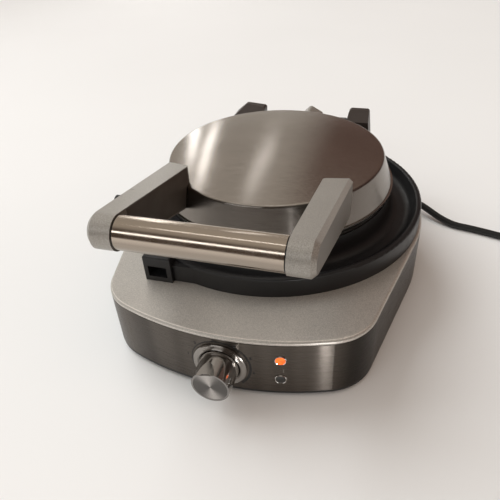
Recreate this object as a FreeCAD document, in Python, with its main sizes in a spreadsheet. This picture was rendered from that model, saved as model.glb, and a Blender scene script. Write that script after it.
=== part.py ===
"""Waffle maker: round plates under a hinged steel lid, a browning dial, a storage latch and a mains cord.

Every sub-part is drawn about the axis of the waffle plates, with the floor at z = 0 and the front towards -Y.
Its placement then moves it back by plate_axis, so that the origin lies under the middle of the object.
"""
import FreeCAD, Part
import Sketcher
import math
import os

os.makedirs("parts", exist_ok=True)
Vector = FreeCAD.Vector
doc = FreeCAD.newDocument("waffle_maker")

# Driving dimensions in millimetres and degrees
SIZES = {
    # Waffle plates
    "plate_round": 97.0,
    "rim_wall": 4.5,
    "rim_slope": 2.5,
    "mould_depth": 14.0,
    "plate_thick": 4.0,
    "plate_gap": 0.5,
    "flange_width": 4.2,
    "flange_thick": 2.2,
    "peg_pitch": 17.0,
    "peg_drop": 3.5,
    "slot_foot": 5.0,
    "slot_mouth": 8.6,
    "divider_width": 2.4,
    "divider_draft": 0.6,
    "divider_drop": 6.5,
    "plate_boss_place": 72.0,
    "plate_boss_round": 4.5,
    "plate_screw_bite": 6.0,
    # Heaters and reflectors
    "heater_round": 62.0,
    "heater_wire": 3.2,
    "heater_gap": 40.0,
    "heater_bend": 4.0,
    "heater_tail": 3.0,
    "heater_clear": 1.2,
    "reflector_inset": 13.0,
    "flare_inset": 5.0,
    "reflector_lip": 6.5,
    # Moat round the plates
    "bore_gap": 2.2,
    "shoulder_width": 6.8,
    "shoulder_top": 3.4,
    "moat_width": 35.5,
    "valley_margin": 10.0,
    "valley_bend": 7.0,
    "moat_wall": 2.6,
    "rim_width": 4.5,
    "rim_bend": 2.0,
    "valley_rise": 7.0,
    "moat_rise": 17.5,
    "seat_rise": 25.5,
    "parting_rise": 4.9,
    # Plan of the base
    "deck_margin": 2.5,
    "side_taper": 12.9,
    "panel_bow": 232.0,
    "panel_ahead": 43.4,
    "corner_round": 42.0,
    "rear_depth": 17.0,
    # Heights and walls of the base
    "foot_height": 4.0,
    "foot_round": 9.0,
    "foot_draft": 1.0,
    "front_foot_side": 82.0,
    "front_foot_behind": 50.4,
    "rear_foot_side": 60.0,
    "rear_foot_behind": 20.0,
    "pan_floor": 2.5,
    "pan_wall": 2.4,
    "pan_inset": 0.4,
    "vent_length": 60.0,
    "vent_width": 4.0,
    "vent_end": 1.8,
    "vent_start": 27.0,
    "vent_pitch": 9.0,
    "sheet_steel": 1.0,
    "fit_gap": 0.2,
    "seat_gap": 0.03,
    "deck_top": 59.0,
    "deck_thick": 4.0,
    "deck_edge": 2.6,
    "deck_ledge": 20.5,
    "deck_bevel": 0.6,
    "boss_round": 5.0,
    "front_boss_side": 70.0,
    "front_boss_behind": 38.4,
    "rear_boss_inset": 12.7,
    "rear_boss_turn": 30.0,
    "screw_round": 2.0,
    "screw_head": 3.8,
    "head_thick": 1.7,
    "screw_bite": 12.0,
    # Storage catch
    "catch_outer": 78.0,
    "catch_inner": 54.0,
    "catch_inset": 1.5,
    "catch_tall": 23.0,
    "catch_wall": 4.0,
    "catch_edge": 1.2,
    "catch_run": 36.0,
    "window_rise": 4.5,
    "window_tall": 10.0,
    "window_depth": 10.0,
    # Lid
    "lid_overhang": 7.6,
    "lip_rise": 2.6,
    "lid_taper": 8.8,
    "lid_wall": 26.1,
    "lid_crown": 8.0,
    "lid_edge": 3.0,
    "lid_bead": 0.8,
    # Handle
    "tube_ahead": 79.6,
    "tube_rise": 53.0,
    "tube_round": 11.4,
    "tube_wall": 1.5,
    "grip_half": 55.0,
    "collar_thick": 1.0,
    "collar_step": 0.9,
    "collar_plug": 8.0,
    "arm_outer": 77.0,
    "arm_nose_outer": 72.0,
    "nose_wall": 1.0,
    "arm_overlap": 40.6,
    "arm_tall": 39.9,
    "arm_rise": 3.5,
    "arm_wall": 2.8,
    "arm_roof": 5.6,
    "arm_bevel": 3.0,
    "arm_end": 4.0,
    "arm_skew": 6.0,
    "arm_solid": 15.0,
    "arm_root": 10.0,
    "arm_cover": 2.0,
    "arm_cover_rim": 0.6,
    "arm_cover_round": 1.0,
    # Storage latch
    "latch_set_back": 17.0,
    "latch_rise": 22.0,
    "latch_boss": 5.5,
    "latch_width": 9.0,
    "latch_thick": 5.0,
    "latch_hook": 4.5,
    "latch_clear": 0.7,
    "latch_pin": 2.5,
    "latch_ease": 0.05,
    "latch_tab": 8.0,
    "tab_reach": 35.4,
    "tab_angle": 139.0,
    "tab_proud": 4.0,
    "thumb_half": 3.6,
    "thumb_rise": 6.0,
    "thumb_gap": 0.5,
    "slide_margin": 1.5,
    # Hinge
    "hinge_behind": 4.5,
    "hinge_rise": 0.6,
    "hinge_pin": 3.0,
    "hinge_ease": 0.06,
    "pin_bury": 20.0,
    "knuckle_round": 5.6,
    "knuckle_inner": 29.0,
    "knuckle_outer": 46.0,
    "saddle_lift": 2.5,
    "saddle_drop": 12.5,
    "saddle_back": 4.0,
    "post_gap": 1.0,
    "post_clear": 1.7,
    "post_width": 23.0,
    "post_inset": 2.5,
    "post_rise": 14.0,
    "post_brow": 6.0,
    "post_crest": 8.0,
    "post_flare": 4.5,
    "post_lean": 1.5,
    "post_wing": 12.0,
    "post_fall": 2.0,
    "post_shoulder": 10.0,
    "post_edge": 3.0,
    "housing_half": 80.0,
    "housing_rise": 3.0,
    "housing_round": 9.0,
    "housing_edge": 3.0,
    "lead_side": 9.0,
    "lead_width": 21.0,
    "lead_rise": 15.5,
    "lead_behind": 3.0,
    "lead_shoulder": 7.5,
    "lead_lean": 3.2,
    "lead_peak": 4.0,
    "lead_edge": 3.0,
    # Controls
    "dial_height": 30.0,
    "dial_turn": 12.0,
    "knob_reach": 22.6,
    "knob_round": 14.4,
    "knob_base": 15.4,
    "knob_clear": 1.0,
    "knob_lip": 1.4,
    "cap_thick": 1.1,
    "pointer_width": 34.0,
    "pointer_drop": 2.4,
    "bezel_round": 20.8,
    "bezel_thick": 2.6,
    "bezel_step": 0.6,
    "bezel_bore": 16.0,
    "bezel_spigot": 16.9,
    "spigot_depth": 5.0,
    "spindle_round": 3.0,
    "spindle_seat": 4.0,
    "spindle_tail": 26.0,
    "spindle_ease": 0.05,
    "thermostat_width": 30.0,
    "thermostat_tall": 26.0,
    "thermostat_deep": 20.0,
    "thermostat_behind": 22.0,
    "neck_round": 6.0,
    "neck_length": 6.0,
    "bracket_sheet": 1.5,
    "bracket_foot": 14.0,
    "bracket_margin": 3.0,
    "lamp_side": 45.0,
    "lamp_high": 40.6,
    "lamp_low": 20.4,
    "lamp_round": 4.1,
    "lamp_flange": 0.45,
    "lamp_sleeve": 0.35,
    "lens_crown": 0.8,
    "lens_proud": 1.6,
    "lens_depth": 9.0,
    "board_width": 18.0,
    "board_margin": 9.0,
    "board_thick": 1.6,
    "terminal_side": 42.0,
    "terminal_back": 92.0,
    "terminal_width": 36.0,
    "terminal_deep": 16.0,
    "terminal_tall": 18.0,
    "terminal_pitch": 12.0,
    "terminal_hole": 3.0,
    # Mains cord
    "cord_round": 3.5,
    "gland_height": 13.5,
    "gland_seam": 10.5,
    "gland_length": 22.0,
    "gland_flange": 5.0,
    "gland_flange_thick": 4.0,
    "gland_groove": 2.0,
    "groove_pitch": 3.6,
    "coil_round": 40.0,
    "coil_lift": 4.6,
    "coil_pitch": 7.9,
    "coil_layer": 7.6,
    "tie_width": 9.0,
    "tie_thick": 0.5,
    "tie_slack": 0.5,
    "plug_length": 54.0,
    "plug_neck": 28.0,
    "plug_round": 10.5,
    "blade_width": 6.4,
    "blade_thick": 1.5,
    "blade_length": 16.0,
    "blade_side": 6.35,
    "blade_rise": 2.0,
    "earth_round": 2.4,
    "earth_length": 18.0,
    "earth_drop": 6.0,
}

# How far a cut runs past the face that it opens
PAST = 2.0

sheet = doc.addObject("Spreadsheet::Sheet", "Sizes")
for row, (alias, number) in enumerate(SIZES.items(), start=1):
    sheet.set(f"A{row}", alias)
    sheet.set(f"B{row}", str(number))
    sheet.setAlias(f"B{row}", alias)
doc.recompute()


class Size:
    """A number and the sheet formula that it comes from, so that a sketch can start right and stay bound."""

    def __init__(self, number, text):
        self.number = float(number)
        self.text = text

    def __add__(self, other):
        other = as_size(other)
        return Size(self.number + other.number, f"({self.text} + {other.text})")

    def __sub__(self, other):
        other = as_size(other)
        return Size(self.number - other.number, f"({self.text} - {other.text})")

    def __mul__(self, other):
        other = as_size(other)
        return Size(self.number * other.number, f"({self.text} * {other.text})")

    def __truediv__(self, other):
        other = as_size(other)
        return Size(self.number / other.number, f"({self.text} / {other.text})")

    def __radd__(self, other):
        return as_size(other) + self

    def __rsub__(self, other):
        return as_size(other) - self

    def __rmul__(self, other):
        return as_size(other) * self

    def __neg__(self):
        return Size(-self.number, f"(-{self.text})")


def as_size(value):
    return value if isinstance(value, Size) else Size(value, f"({float(value)})")


def root(value):
    return Size(math.sqrt(value.number), f"sqrt({value.text})")


def sine(degrees):
    degrees = as_size(degrees)
    return Size(math.sin(math.radians(degrees.number)), f"sin({degrees.text})")


def cosine(degrees):
    degrees = as_size(degrees)
    return Size(math.cos(math.radians(degrees.number)), f"cos({degrees.text})")


def dim(alias):
    return Size(SIZES[alias], f"Sizes.{alias}")


def bind(thing, prop, value):
    thing.setExpression(prop, as_size(value).text)


# Radii, from the plates outward
mould_round = dim("plate_round") - dim("rim_wall")
flange_round = dim("plate_round") + dim("flange_width")
reflector_round = dim("plate_round") - dim("reflector_inset")
reflector_flare = dim("plate_round") - dim("flare_inset")
lid_lip_round = dim("plate_round") + dim("lid_overhang")
lid_rim_round = lid_lip_round - dim("lid_taper")
moat_bore = dim("plate_round") + dim("bore_gap")
moat_round = dim("plate_round") + dim("moat_width")
valley_inner = moat_bore + dim("shoulder_width")
valley_outer = moat_round - dim("valley_margin")
base_round = moat_round + dim("deck_margin")
deck_hole = moat_round - dim("deck_ledge")
lamp_ring = dim("lamp_round") + dim("lamp_flange")
lens_round = dim("lamp_round") - dim("lamp_sleeve")
arm_nose = dim("tube_round") + dim("nose_wall")

# Reaches from the plate axis to the front and to the rear
panel_reach = base_round + dim("panel_ahead")
rear_reach = base_round + dim("rear_depth")
plate_axis = (panel_reach + dim("knob_reach") - rear_reach) / 2
bow_centre = dim("panel_bow") - panel_reach
catch_front = moat_round - dim("catch_inset")
latch_reach = catch_front - dim("latch_set_back")
tube_reach = lid_lip_round + dim("tube_ahead")
arm_back = lid_lip_round - dim("arm_overlap")
hinge_back = moat_round + dim("hinge_behind")
post_inner = dim("knuckle_outer") + dim("post_gap")
post_outer = post_inner + dim("post_width")
post_front = root(moat_round * moat_round - post_inner * post_inner) + dim("post_clear")
housing_hug = base_round + dim("fit_gap")
housing_seam = root(housing_hug * housing_hug - dim("housing_half") * dim("housing_half"))
gland_back = housing_seam + dim("gland_seam")

# Heights, from the floor up
wrap_low = dim("foot_height") + dim("pan_floor")
deck_under = dim("deck_top") - dim("deck_thick")
housing_top = dim("deck_top") + dim("housing_rise")
valley_floor = dim("deck_top") + dim("valley_rise")
moat_rim = dim("deck_top") + dim("moat_rise")
moat_seat = dim("deck_top") + dim("seat_rise")
catch_top = dim("deck_top") + dim("catch_tall")
window_low = dim("deck_top") + dim("window_rise")
window_high = window_low + dim("window_tall")
parting = moat_seat + dim("parting_rise")
hinge_height = parting + dim("hinge_rise")
post_top = hinge_height + dim("post_rise")
lid_under = parting + dim("plate_gap")
lid_lip = parting + dim("lip_rise")
lid_rim = lid_lip + dim("lid_wall")
lead_top = lid_lip + dim("lead_rise")
latch_height = lid_lip + dim("latch_rise")
arm_back_top = lid_lip + dim("arm_tall")
arm_back_low = lid_lip + dim("arm_rise")
tube_height = lid_lip + dim("tube_rise")

# Levels of a plate's back, below its own rim
peg_floor = -dim("mould_depth")
plate_back = peg_floor - dim("plate_thick")
reflector_face = plate_back - dim("heater_wire") * 2 - dim("heater_clear")

pieces = []


def hand_in(thing, label):
    """Name a finished sub-part and put it on the list for export."""
    thing.Label = label
    pieces.append(thing)
    return thing


def place(thing, x=0, y=0, z=0):
    """Bind the place of a sub-part that is drawn about the plate axis."""
    for axis, value in (("x", as_size(x)), ("y", plate_axis + y), ("z", as_size(z))):
        if value.number or value.text != "(0.0)":
            bind(thing, f"Placement.Base.{axis}", value)
    return thing


def new_body(name, x=0, y=0, z=0):
    return place(doc.addObject("PartDesign::Body", name), x, y, z)


class Arc:
    """A corner that is reached along an arc: counterclockwise for turn 1, clockwise for turn -1."""

    def __init__(self, x, y, radius, turn=1):
        self.x = as_size(x)
        self.y = as_size(y)
        self.radius = as_size(radius)
        self.turn = turn


class Profile:
    """A sketch on one of a body's own planes, whose corners, radii and circles are bound to the sheet."""

    def __init__(self, body, plane, offset=0):
        self.body = body
        self.sketch = body.newObject("Sketcher::SketchObject", f"{body.Name}_sketch")
        support = [f for f in body.Origin.OriginFeatures if f.Role == f"{plane}_Plane"][0]
        self.sketch.AttachmentSupport = [(support, "")]
        self.sketch.MapMode = "FlatFace"
        offset = as_size(offset)
        if offset.text != "(0.0)":
            bind(self.sketch, "AttachmentOffset.Base.z", offset)
        self.rules = []
        self.bound = []

    def rule(self, *terms, size=None):
        if size is not None:
            terms = (*terms, size.number)
            self.bound.append((len(self.rules), size))
        self.rules.append(Sketcher.Constraint(*terms))

    def pin(self, curve, end, x, y):
        """Hold a point at its distances from the sketch's origin."""
        for kind, axis, value in (("DistanceX", -2, as_size(x)), ("DistanceY", -1, as_size(y))):
            if value.text == "(0.0)":
                self.rule("PointOnObject", curve, end, axis)
            else:
                self.rule(kind, -1, 1, curve, end, size=value)

    def line(self, start, end):
        curve = self.sketch.addGeometry(Part.LineSegment(start, end), False)
        return curve, 1, 2

    def arc(self, start, end, radius, turn):
        """The shorter arc between two points; the sketch itself holds every arc counterclockwise."""
        chord = end - start
        rise = math.sqrt(max(radius * radius - chord.Length**2 / 4, 0.0))
        side = Vector(-chord.y, chord.x, 0).normalize() * turn
        centre = (start + end) * 0.5 + side * rise
        first, last = (start, end) if turn > 0 else (end, start)
        low = math.atan2(first.y - centre.y, first.x - centre.x)
        high = math.atan2(last.y - centre.y, last.x - centre.x)
        if high < low:
            high += 2 * math.pi
        circle = Part.Circle(centre, Vector(0, 0, 1), radius)
        curve = self.sketch.addGeometry(Part.ArcOfCircle(circle, low, high), False)
        return (curve, 1, 2) if turn > 0 else (curve, 2, 1)

    def circle(self, x, y, radius):
        x, y, radius = as_size(x), as_size(y), as_size(radius)
        middle = Vector(x.number, y.number, 0)
        curve = self.sketch.addGeometry(Part.Circle(middle, Vector(0, 0, 1), radius.number), False)
        self.pin(curve, 3, x, y)
        self.rule("Radius", curve, size=radius)
        return self

    def loop(self, *corners):
        """A closed outline. A corner is (x, y), (x, y, rounding) or an Arc that ends there."""
        corners = [c if isinstance(c, Arc) else tuple(as_size(v) for v in c) for c in corners]
        spots = []
        for corner in corners:
            x, y = (corner.x, corner.y) if isinstance(corner, Arc) else corner[:2]
            spots.append((x, y, Vector(x.number, y.number, 0)))
        count = len(corners)
        leave = [spot[2] for spot in spots]
        reach = [spot[2] for spot in spots]
        bends = {}
        for i, corner in enumerate(corners):
            if isinstance(corner, Arc) or len(corner) < 3:
                continue
            into = (spots[i][2] - spots[i - 1][2]).normalize()
            out = (spots[(i + 1) % count][2] - spots[i][2]).normalize()
            bend = into.getAngle(out)
            run = corner[2].number * math.tan(bend / 2)
            turn = 1 if into.x * out.y - into.y * out.x > 0 else -1
            reach[i] = spots[i][2] - into * run
            leave[i] = spots[i][2] + out * run
            bends[i] = turn
        sides = []
        for i, corner in enumerate(corners):
            if isinstance(corner, Arc):
                side = self.arc(leave[i - 1], reach[i], corner.radius.number, corner.turn)
                self.rule("Radius", side[0], size=corner.radius)
            else:
                side = self.line(leave[i - 1], reach[i])
            sides.append(side)
        for i, corner in enumerate(corners):
            curve, _, end = sides[i]
            after, start, _ = sides[(i + 1) % count]
            x, y, spot = spots[i]
            if i not in bends:
                self.rule("Coincident", curve, end, after, start)
                self.pin(curve, end, x, y)
                continue
            bend, first, last = self.arc(reach[i], leave[i], corner[2].number, bends[i])
            mark = self.sketch.addGeometry(Part.Point(spot), True)
            self.pin(mark, 1, x, y)
            self.rule("PointOnObject", mark, 1, curve)
            self.rule("PointOnObject", mark, 1, after)
            self.rule("Tangent", curve, end, bend, first)
            self.rule("Tangent", bend, last, after, start)
            self.rule("Radius", bend, size=corner[2])
        return self

    def close(self):
        """Give the sketch its constraints and bind each one that holds a size."""
        first = self.sketch.ConstraintCount
        self.sketch.addConstraint(self.rules)
        for place_in_list, size in self.bound:
            name = f"size{first + place_in_list}"
            self.sketch.renameConstraint(first + place_in_list, name)
            self.sketch.setExpression(f"Constraints.{name}", size.text)
        self.rules, self.bound = [], []
        return self.sketch


def feature(profile, kind):
    sketch = profile.close()
    made = profile.body.newObject(f"PartDesign::{kind}", f"{profile.body.Name}_{kind.lower()}")
    made.Profile = sketch
    return made


def pad(profile, length, symmetric=False):
    """Grow a profile along its plane's normal: +Z from XY, -Y from XZ, +X from YZ."""
    made = feature(profile, "Pad")
    bind(made, "Length", length)
    if symmetric:
        made.SideType = "Symmetric"
    return made


def pocket(profile, length, symmetric=False):
    """Cut a profile along its plane's normal, the way that pad grows."""
    made = feature(profile, "Pocket")
    bind(made, "Length", length)
    if symmetric:
        made.SideType = "Symmetric"
    else:
        made.Reversed = True
    return made


def revolve(profile, axis="V_Axis", kind="Revolution"):
    made = feature(profile, kind)
    made.ReferenceAxis = (made.Profile[0], [axis])
    made.Angle = 360
    return made


def repeat(body, original, axis, count, pitch):
    """A row of copies of one feature, which becomes the body's tip."""
    made = body.newObject("PartDesign::LinearPattern", f"{body.Name}_row")
    made.Originals = [original]
    made.Direction = ([f for f in body.Origin.OriginFeatures if f.Role == f"{axis}_Axis"][0], [""])
    made.Mode = "Spacing"
    bind(made, "Offset", pitch)
    made.Occurrences = count
    body.Tip = made
    return made


def soften(body, kind, prop, size, wanted):
    """Fillet or chamfer the edges of a body's tip that the test wanted picks."""
    doc.recompute()
    tip = body.Tip
    names = [f"Edge{n}" for n, edge in enumerate(tip.Shape.Edges, start=1) if wanted(edge)]
    made = body.newObject(f"PartDesign::{kind}", f"{body.Name}_{kind.lower()}")
    made.Base = (tip, names)
    bind(made, prop, size)
    body.Tip = made
    return made


def fillet(body, size, wanted):
    return soften(body, "Fillet", "Radius", size, wanted)


def chamfer(body, size, wanted):
    return soften(body, "Chamfer", "Size", size, wanted)


def cut(base, tool, label):
    made = doc.addObject("Part::Cut", label)
    made.Base = base
    made.Tool = tool
    return hand_in(made, label)


def group(label, members):
    """Identical loose pieces that share one node as separate solids."""
    made = doc.addObject("Part::Compound", label)
    made.Links = members
    return hand_in(made, label)


def cylinder(name, radius, height, x=0, y=0, z=0, axis="Z"):
    made = doc.addObject("Part::Cylinder", name)
    bind(made, "Radius", radius)
    bind(made, "Height", height)
    turns = {"Z": (Vector(0, 0, 1), 0), "X": (Vector(0, 1, 0), 90), "-Y": (Vector(1, 0, 0), 90)}
    made.Placement.Rotation = FreeCAD.Rotation(*turns[axis])
    return place(made, x, y, z)


def tube_along(path, radius):
    """A solid round tube along a smooth wire."""
    start = path.Edges[0].Vertexes[0].Point
    heading = path.Edges[0].tangentAt(path.Edges[0].FirstParameter)
    ring = Part.Wire([Part.makeCircle(radius, start, heading)])
    return path.makePipeShell([ring], True, False)


def edge_radius(edge):
    """Radius of a circular edge, and 0 for any other."""
    if edge.Degenerated:
        return 0
    return getattr(edge.Curve, "Radius", 0)


def is_ring(radius, height):
    """Pick level circular edges of a turned piece."""
    radius, height = as_size(radius), as_size(height)

    def test(edge):
        round_edge = abs(edge_radius(edge) - radius.number) < 0.05
        return round_edge and abs(edge.CenterOfMass.z - height.number) < 0.05

    return test


# Base: pan, feet, screws, steel wrap and deck


def base_outline(profile, inset):
    """Round rear, tapering sides, rounded corners and a bowed front, all drawn in by the inset."""
    inset = as_size(inset)
    taper_sine, taper_cosine = sine(dim("side_taper")), cosine(dim("side_taper"))
    arm = dim("panel_bow") - dim("corner_round")
    lean = (base_round - dim("corner_round") + bow_centre * taper_sine) / arm
    lean_cosine = root(1 - lean * lean)
    corner_sine = lean * taper_cosine - lean_cosine * taper_sine
    corner_cosine = lean_cosine * taper_cosine + lean * taper_sine
    bow = dim("panel_bow") - inset
    corner = dim("corner_round") - inset
    rear = base_round - inset
    front_x, front_y = bow * corner_sine, bow_centre - bow * corner_cosine
    side_x = arm * corner_sine + corner * taper_cosine
    side_y = bow_centre - arm * corner_cosine - corner * taper_sine
    rear_x, rear_y = rear * taper_cosine, -(rear * taper_sine)
    return profile.loop(
        Arc(-front_x, front_y, corner),
        Arc(front_x, front_y, bow),
        Arc(side_x, side_y, corner),
        (rear_x, rear_y),
        Arc(0, rear, rear),
        Arc(-rear_x, rear_y, rear),
        (-side_x, side_y),
    )


def boss_places():
    """Four screw bosses inside the corners of the base."""
    reach, turn = base_round - dim("rear_boss_inset"), dim("rear_boss_turn")
    front = dim("front_boss_side"), dim("front_boss_behind") - panel_reach
    rear = reach * sine(turn), reach * cosine(turn)
    return [(x * side, y) for x, y in (front, rear) for side in (-1, 1)]


def make_base_pan():
    body = new_body("base_pan")
    pad(base_outline(Profile(body, "XY", dim("foot_height")), dim("pan_inset")), dim("pan_floor"))
    outer = dim("sheet_steel") + dim("fit_gap")
    wall = base_outline(Profile(body, "XY", wrap_low), outer)
    base_outline(wall, outer + dim("pan_wall"))
    pad(wall, deck_under - wrap_low - dim("fit_gap"))
    holes = Profile(body, "XY", dim("foot_height") - PAST)
    for x, y in boss_places():
        holes.circle(x, y, dim("screw_round"))
    pocket(holes, dim("pan_floor") + 2 * PAST)
    panel = Profile(body, "XZ")
    panel.circle(0, dim("dial_height"), dim("bezel_spigot") + dim("fit_gap"))
    for height in (dim("lamp_high"), dim("lamp_low")):
        panel.circle(dim("lamp_side"), height, lamp_ring + dim("sheet_steel"))
    pocket(panel, panel_reach + PAST)
    vent = Profile(body, "XY", dim("foot_height") - PAST)
    half, near, bend = dim("vent_length") / 2, dim("vent_start") - dim("vent_width") / 2, dim("vent_end")
    far = near + dim("vent_width")
    vent.loop((-half, near, bend), (half, near, bend), (half, far, bend), (-half, far, bend))
    slot = pocket(vent, dim("pan_floor") + 2 * PAST)
    repeat(body, slot, "Y", 5, dim("vent_pitch"))
    hand_in(body, "base_pan")


def make_feet():
    front = dim("front_foot_side"), dim("front_foot_behind") - panel_reach
    rear = dim("rear_foot_side"), rear_reach - dim("rear_foot_behind")
    spots = [(x * side, y) for x, y in (front, rear) for side in (-1, 1)]
    foot, high = dim("foot_round"), dim("foot_height")
    feet = []
    for number, (x, y) in enumerate(spots):
        body = new_body(f"foot{number}", x, y)
        side = Profile(body, "XZ")
        side.loop((0, 0), (foot - dim("foot_draft"), 0), (foot, high), (0, high))
        revolve(side)
        feet.append(body)
    group("feet", feet)


def screw(name, x, y, seat, bite):
    """A screw that points up, with the head below its seat."""
    body = new_body(name, x, y)
    side = Profile(body, "XZ")
    shank, head, low = dim("screw_round"), dim("screw_head"), seat - dim("head_thick")
    side.loop((0, low), (head, low), (head, seat), (shank, seat), (shank, seat + bite), (0, seat + bite))
    revolve(side)
    return body


def make_pan_screws():
    seat, bite = dim("foot_height"), dim("pan_floor") + dim("screw_bite")
    screws = [screw(f"pan_screw{n}", x, y, seat, bite) for n, (x, y) in enumerate(boss_places())]
    group("pan_screws", screws)


def make_steel_wrap():
    body = new_body("steel_wrap_band")
    band = base_outline(Profile(body, "XY", wrap_low), 0)
    base_outline(band, dim("sheet_steel"))
    pad(band, deck_under - wrap_low)
    opening = dim("bezel_spigot") + dim("seat_gap")
    through = panel_reach + PAST
    tools = [cylinder("dial_opening", opening, through, 0, 0, dim("dial_height"), "-Y")]
    deep = dim("lens_depth")
    for name, height in (("high_lamp_opening", dim("lamp_high")), ("low_lamp_opening", dim("lamp_low"))):
        tools.append(lamp_turned(cylinder(name, dim("lamp_round"), deep * 2, axis="-Y"), height, inward=deep))
    openings = doc.addObject("Part::Compound", "panel_openings")
    openings.Links = tools
    cut(body, openings, "steel_wrap")


def lamp_turned(thing, height, inward=0):
    """Set a piece that points towards -Y square to the bowed panel at a lamp."""
    lean = dim("lamp_side") / dim("panel_bow")
    straight = root(1 - lean * lean)
    depth = dim("panel_bow") - inward
    turn = FreeCAD.Rotation(Vector(0, 0, 1), math.degrees(math.asin(lean.number)))
    thing.Placement.Rotation = turn * thing.Placement.Rotation
    return place(thing, depth * lean, bow_centre - depth * straight, height)


def make_deck():
    body = new_body("deck")
    top = base_outline(Profile(body, "XY", deck_under), 0)
    top.circle(0, 0, deck_hole)
    pad(top, dim("deck_thick"))
    high, low = dim("deck_top").number, deck_under.number
    hole = deck_hole.number

    def outer_top(edge):
        round_hole = abs(edge_radius(edge) - hole) < 0.1
        return abs(edge.BoundBox.ZMin - high) < 0.01 and not round_hole

    def outer_low(edge):
        round_hole = abs(edge_radius(edge) - hole) < 0.1
        return abs(edge.BoundBox.ZMax - low) < 0.01 and not round_hole

    fillet(body, dim("deck_edge"), outer_top)
    chamfer(body, dim("deck_bevel"), outer_low)
    bosses = Profile(body, "XY", wrap_low)
    for x, y in boss_places():
        bosses.circle(x, y, dim("boss_round"))
        bosses.circle(x, y, dim("screw_round"))
    pad(bosses, deck_under - wrap_low)
    hand_in(body, "deck")


# Moat with the wall that runs out to the storage catch


def make_moat_tray():
    body = new_body("moat_tray")
    ring = Profile(body, "XZ")
    outer, rim = moat_round, moat_rim
    floor, wall = valley_floor, dim("moat_wall")
    ring.loop(
        (outer, dim("deck_top")),
        (outer, rim, dim("rim_bend")),
        (outer - dim("rim_width"), rim, dim("rim_bend")),
        (valley_outer, floor, dim("valley_bend")),
        (valley_inner, floor, dim("valley_bend")),
        (moat_bore + dim("shoulder_top"), moat_seat),
        (moat_bore, moat_seat),
        (moat_bore, floor - wall),
        (valley_outer + wall / 2, floor - wall),
        (outer - wall, rim - dim("rim_width")),
        (outer - wall, dim("deck_top")),
    )
    revolve(ring)
    run = Profile(body, "XY", dim("deck_top"))
    inner = outer - wall / 2
    start, end = dim("catch_run"), dim("catch_inner") - dim("fit_gap")
    run_front = root(outer * outer - start * start)
    run.loop(
        (-start, -run_front),
        (-start, -root(inner * inner - start * start)),
        Arc(-end, -root(inner * inner - end * end), inner, -1),
        (-end, -run_front),
    )
    pad(run, dim("moat_rise") - dim("rim_bend"))
    hand_in(body, "moat_tray")


def make_latch_catch():
    body = new_body("latch_catch")
    plan = Profile(body, "XY", dim("deck_top"))
    hug = moat_round + dim("fit_gap")
    left, right, front = dim("catch_outer"), dim("catch_inner"), catch_front
    plan.loop(
        (-left, -front, dim("catch_edge")),
        (-right, -front),
        (-right, -root(hug * hug - right * right)),
        Arc(-left, -root(hug * hug - left * left), hug, -1),
    )
    pad(plan, catch_top - dim("deck_top"))
    window = Profile(body, "XZ", front - dim("window_depth"))
    side = dim("catch_wall")
    window.loop(
        (side - left, window_low),
        (-right - side, window_low),
        (-right - side, window_high),
        (side - left, window_high),
    )
    pocket(window, dim("window_depth") + PAST)
    fillet(body, dim("catch_edge"), lambda edge: abs(edge.BoundBox.ZMin - catch_top.number) < 0.01)
    hand_in(body, "latch_catch")


# Waffle plates with pegs, heaters, reflectors and their screws


def turn_over(thing, upside_down):
    """Turn a piece that is drawn for the lower plate over, for the upper one."""
    if upside_down:
        thing.Placement.Rotation = FreeCAD.Rotation(Vector(0, 1, 0), 180)


def plate_body(name, z, upside_down):
    body = doc.addObject("PartDesign::Body", name)
    turn_over(body, upside_down)
    return place(body, 0, 0, z)


def boss_spots():
    reach = dim("plate_boss_place") * cosine(45)
    return [(reach * a, reach * b) for a in (-1, 1) for b in (-1, 1)]


def make_plate(label, z, upside_down, flange):
    """A cast plate about its own rim: crossing slots leave the pegs, then the rim is turned on."""
    body = plate_body(label, z, upside_down)
    tips, rim = -dim("peg_drop"), dim("plate_round")
    disc = Profile(body, "XZ")
    disc.loop((0, plate_back), (rim, plate_back), (rim, tips), (0, tips))
    revolve(disc)
    steps = int(mould_round.number / SIZES["peg_pitch"])
    first = -dim("peg_pitch") * steps
    foot, mouth = dim("slot_foot") / 2, dim("slot_mouth") / 2
    for plane, axis in (("YZ", "Y"), ("XZ", "X")):
        slot = Profile(body, plane)
        slot.loop(
            (first - foot, peg_floor),
            (first + foot, peg_floor),
            (first + mouth, tips),
            (first - mouth, tips),
        )
        row = pocket(slot, (rim + PAST) * 2, symmetric=True)
        repeat(body, row, axis, 2 * steps + 1, dim("peg_pitch"))
    edge = Profile(body, "XZ")
    edge.loop((mould_round - dim("rim_slope"), peg_floor), (rim, peg_floor), (rim, 0), (mould_round, 0))
    revolve(edge)
    half, top, draft = dim("divider_width") / 2, -dim("divider_drop"), dim("divider_draft")
    for plane in ("XZ", "YZ"):
        ridge = Profile(body, plane)
        ridge.loop((-half - draft, peg_floor), (half + draft, peg_floor), (half, top), (-half, top))
        pad(ridge, mould_round * 2 - dim("rim_slope"), symmetric=True)
    if flange:
        lip = Profile(body, "XZ")
        low = -dim("parting_rise")
        high, inner = low + dim("flange_thick"), rim - dim("rim_wall") / 2
        lip.loop((inner, low), (flange_round, low), (flange_round, high), (inner, high))
        revolve(lip)
    bosses = Profile(body, "XY", reflector_face)
    for x, y in boss_spots():
        bosses.circle(x, y, dim("plate_boss_round"))
        bosses.circle(x, y, dim("screw_round"))
    pad(bosses, plate_back - reflector_face)
    hand_in(body, label)


def heater_leg():
    """Where the heater's ends turn away from the plate: along X, and to each side of it."""
    ring, bend, half = dim("heater_round"), dim("heater_bend"), dim("heater_gap") / 2
    return ring * cosine(half) + bend * sine(half), ring * sine(half) - bend * cosine(half)


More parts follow.
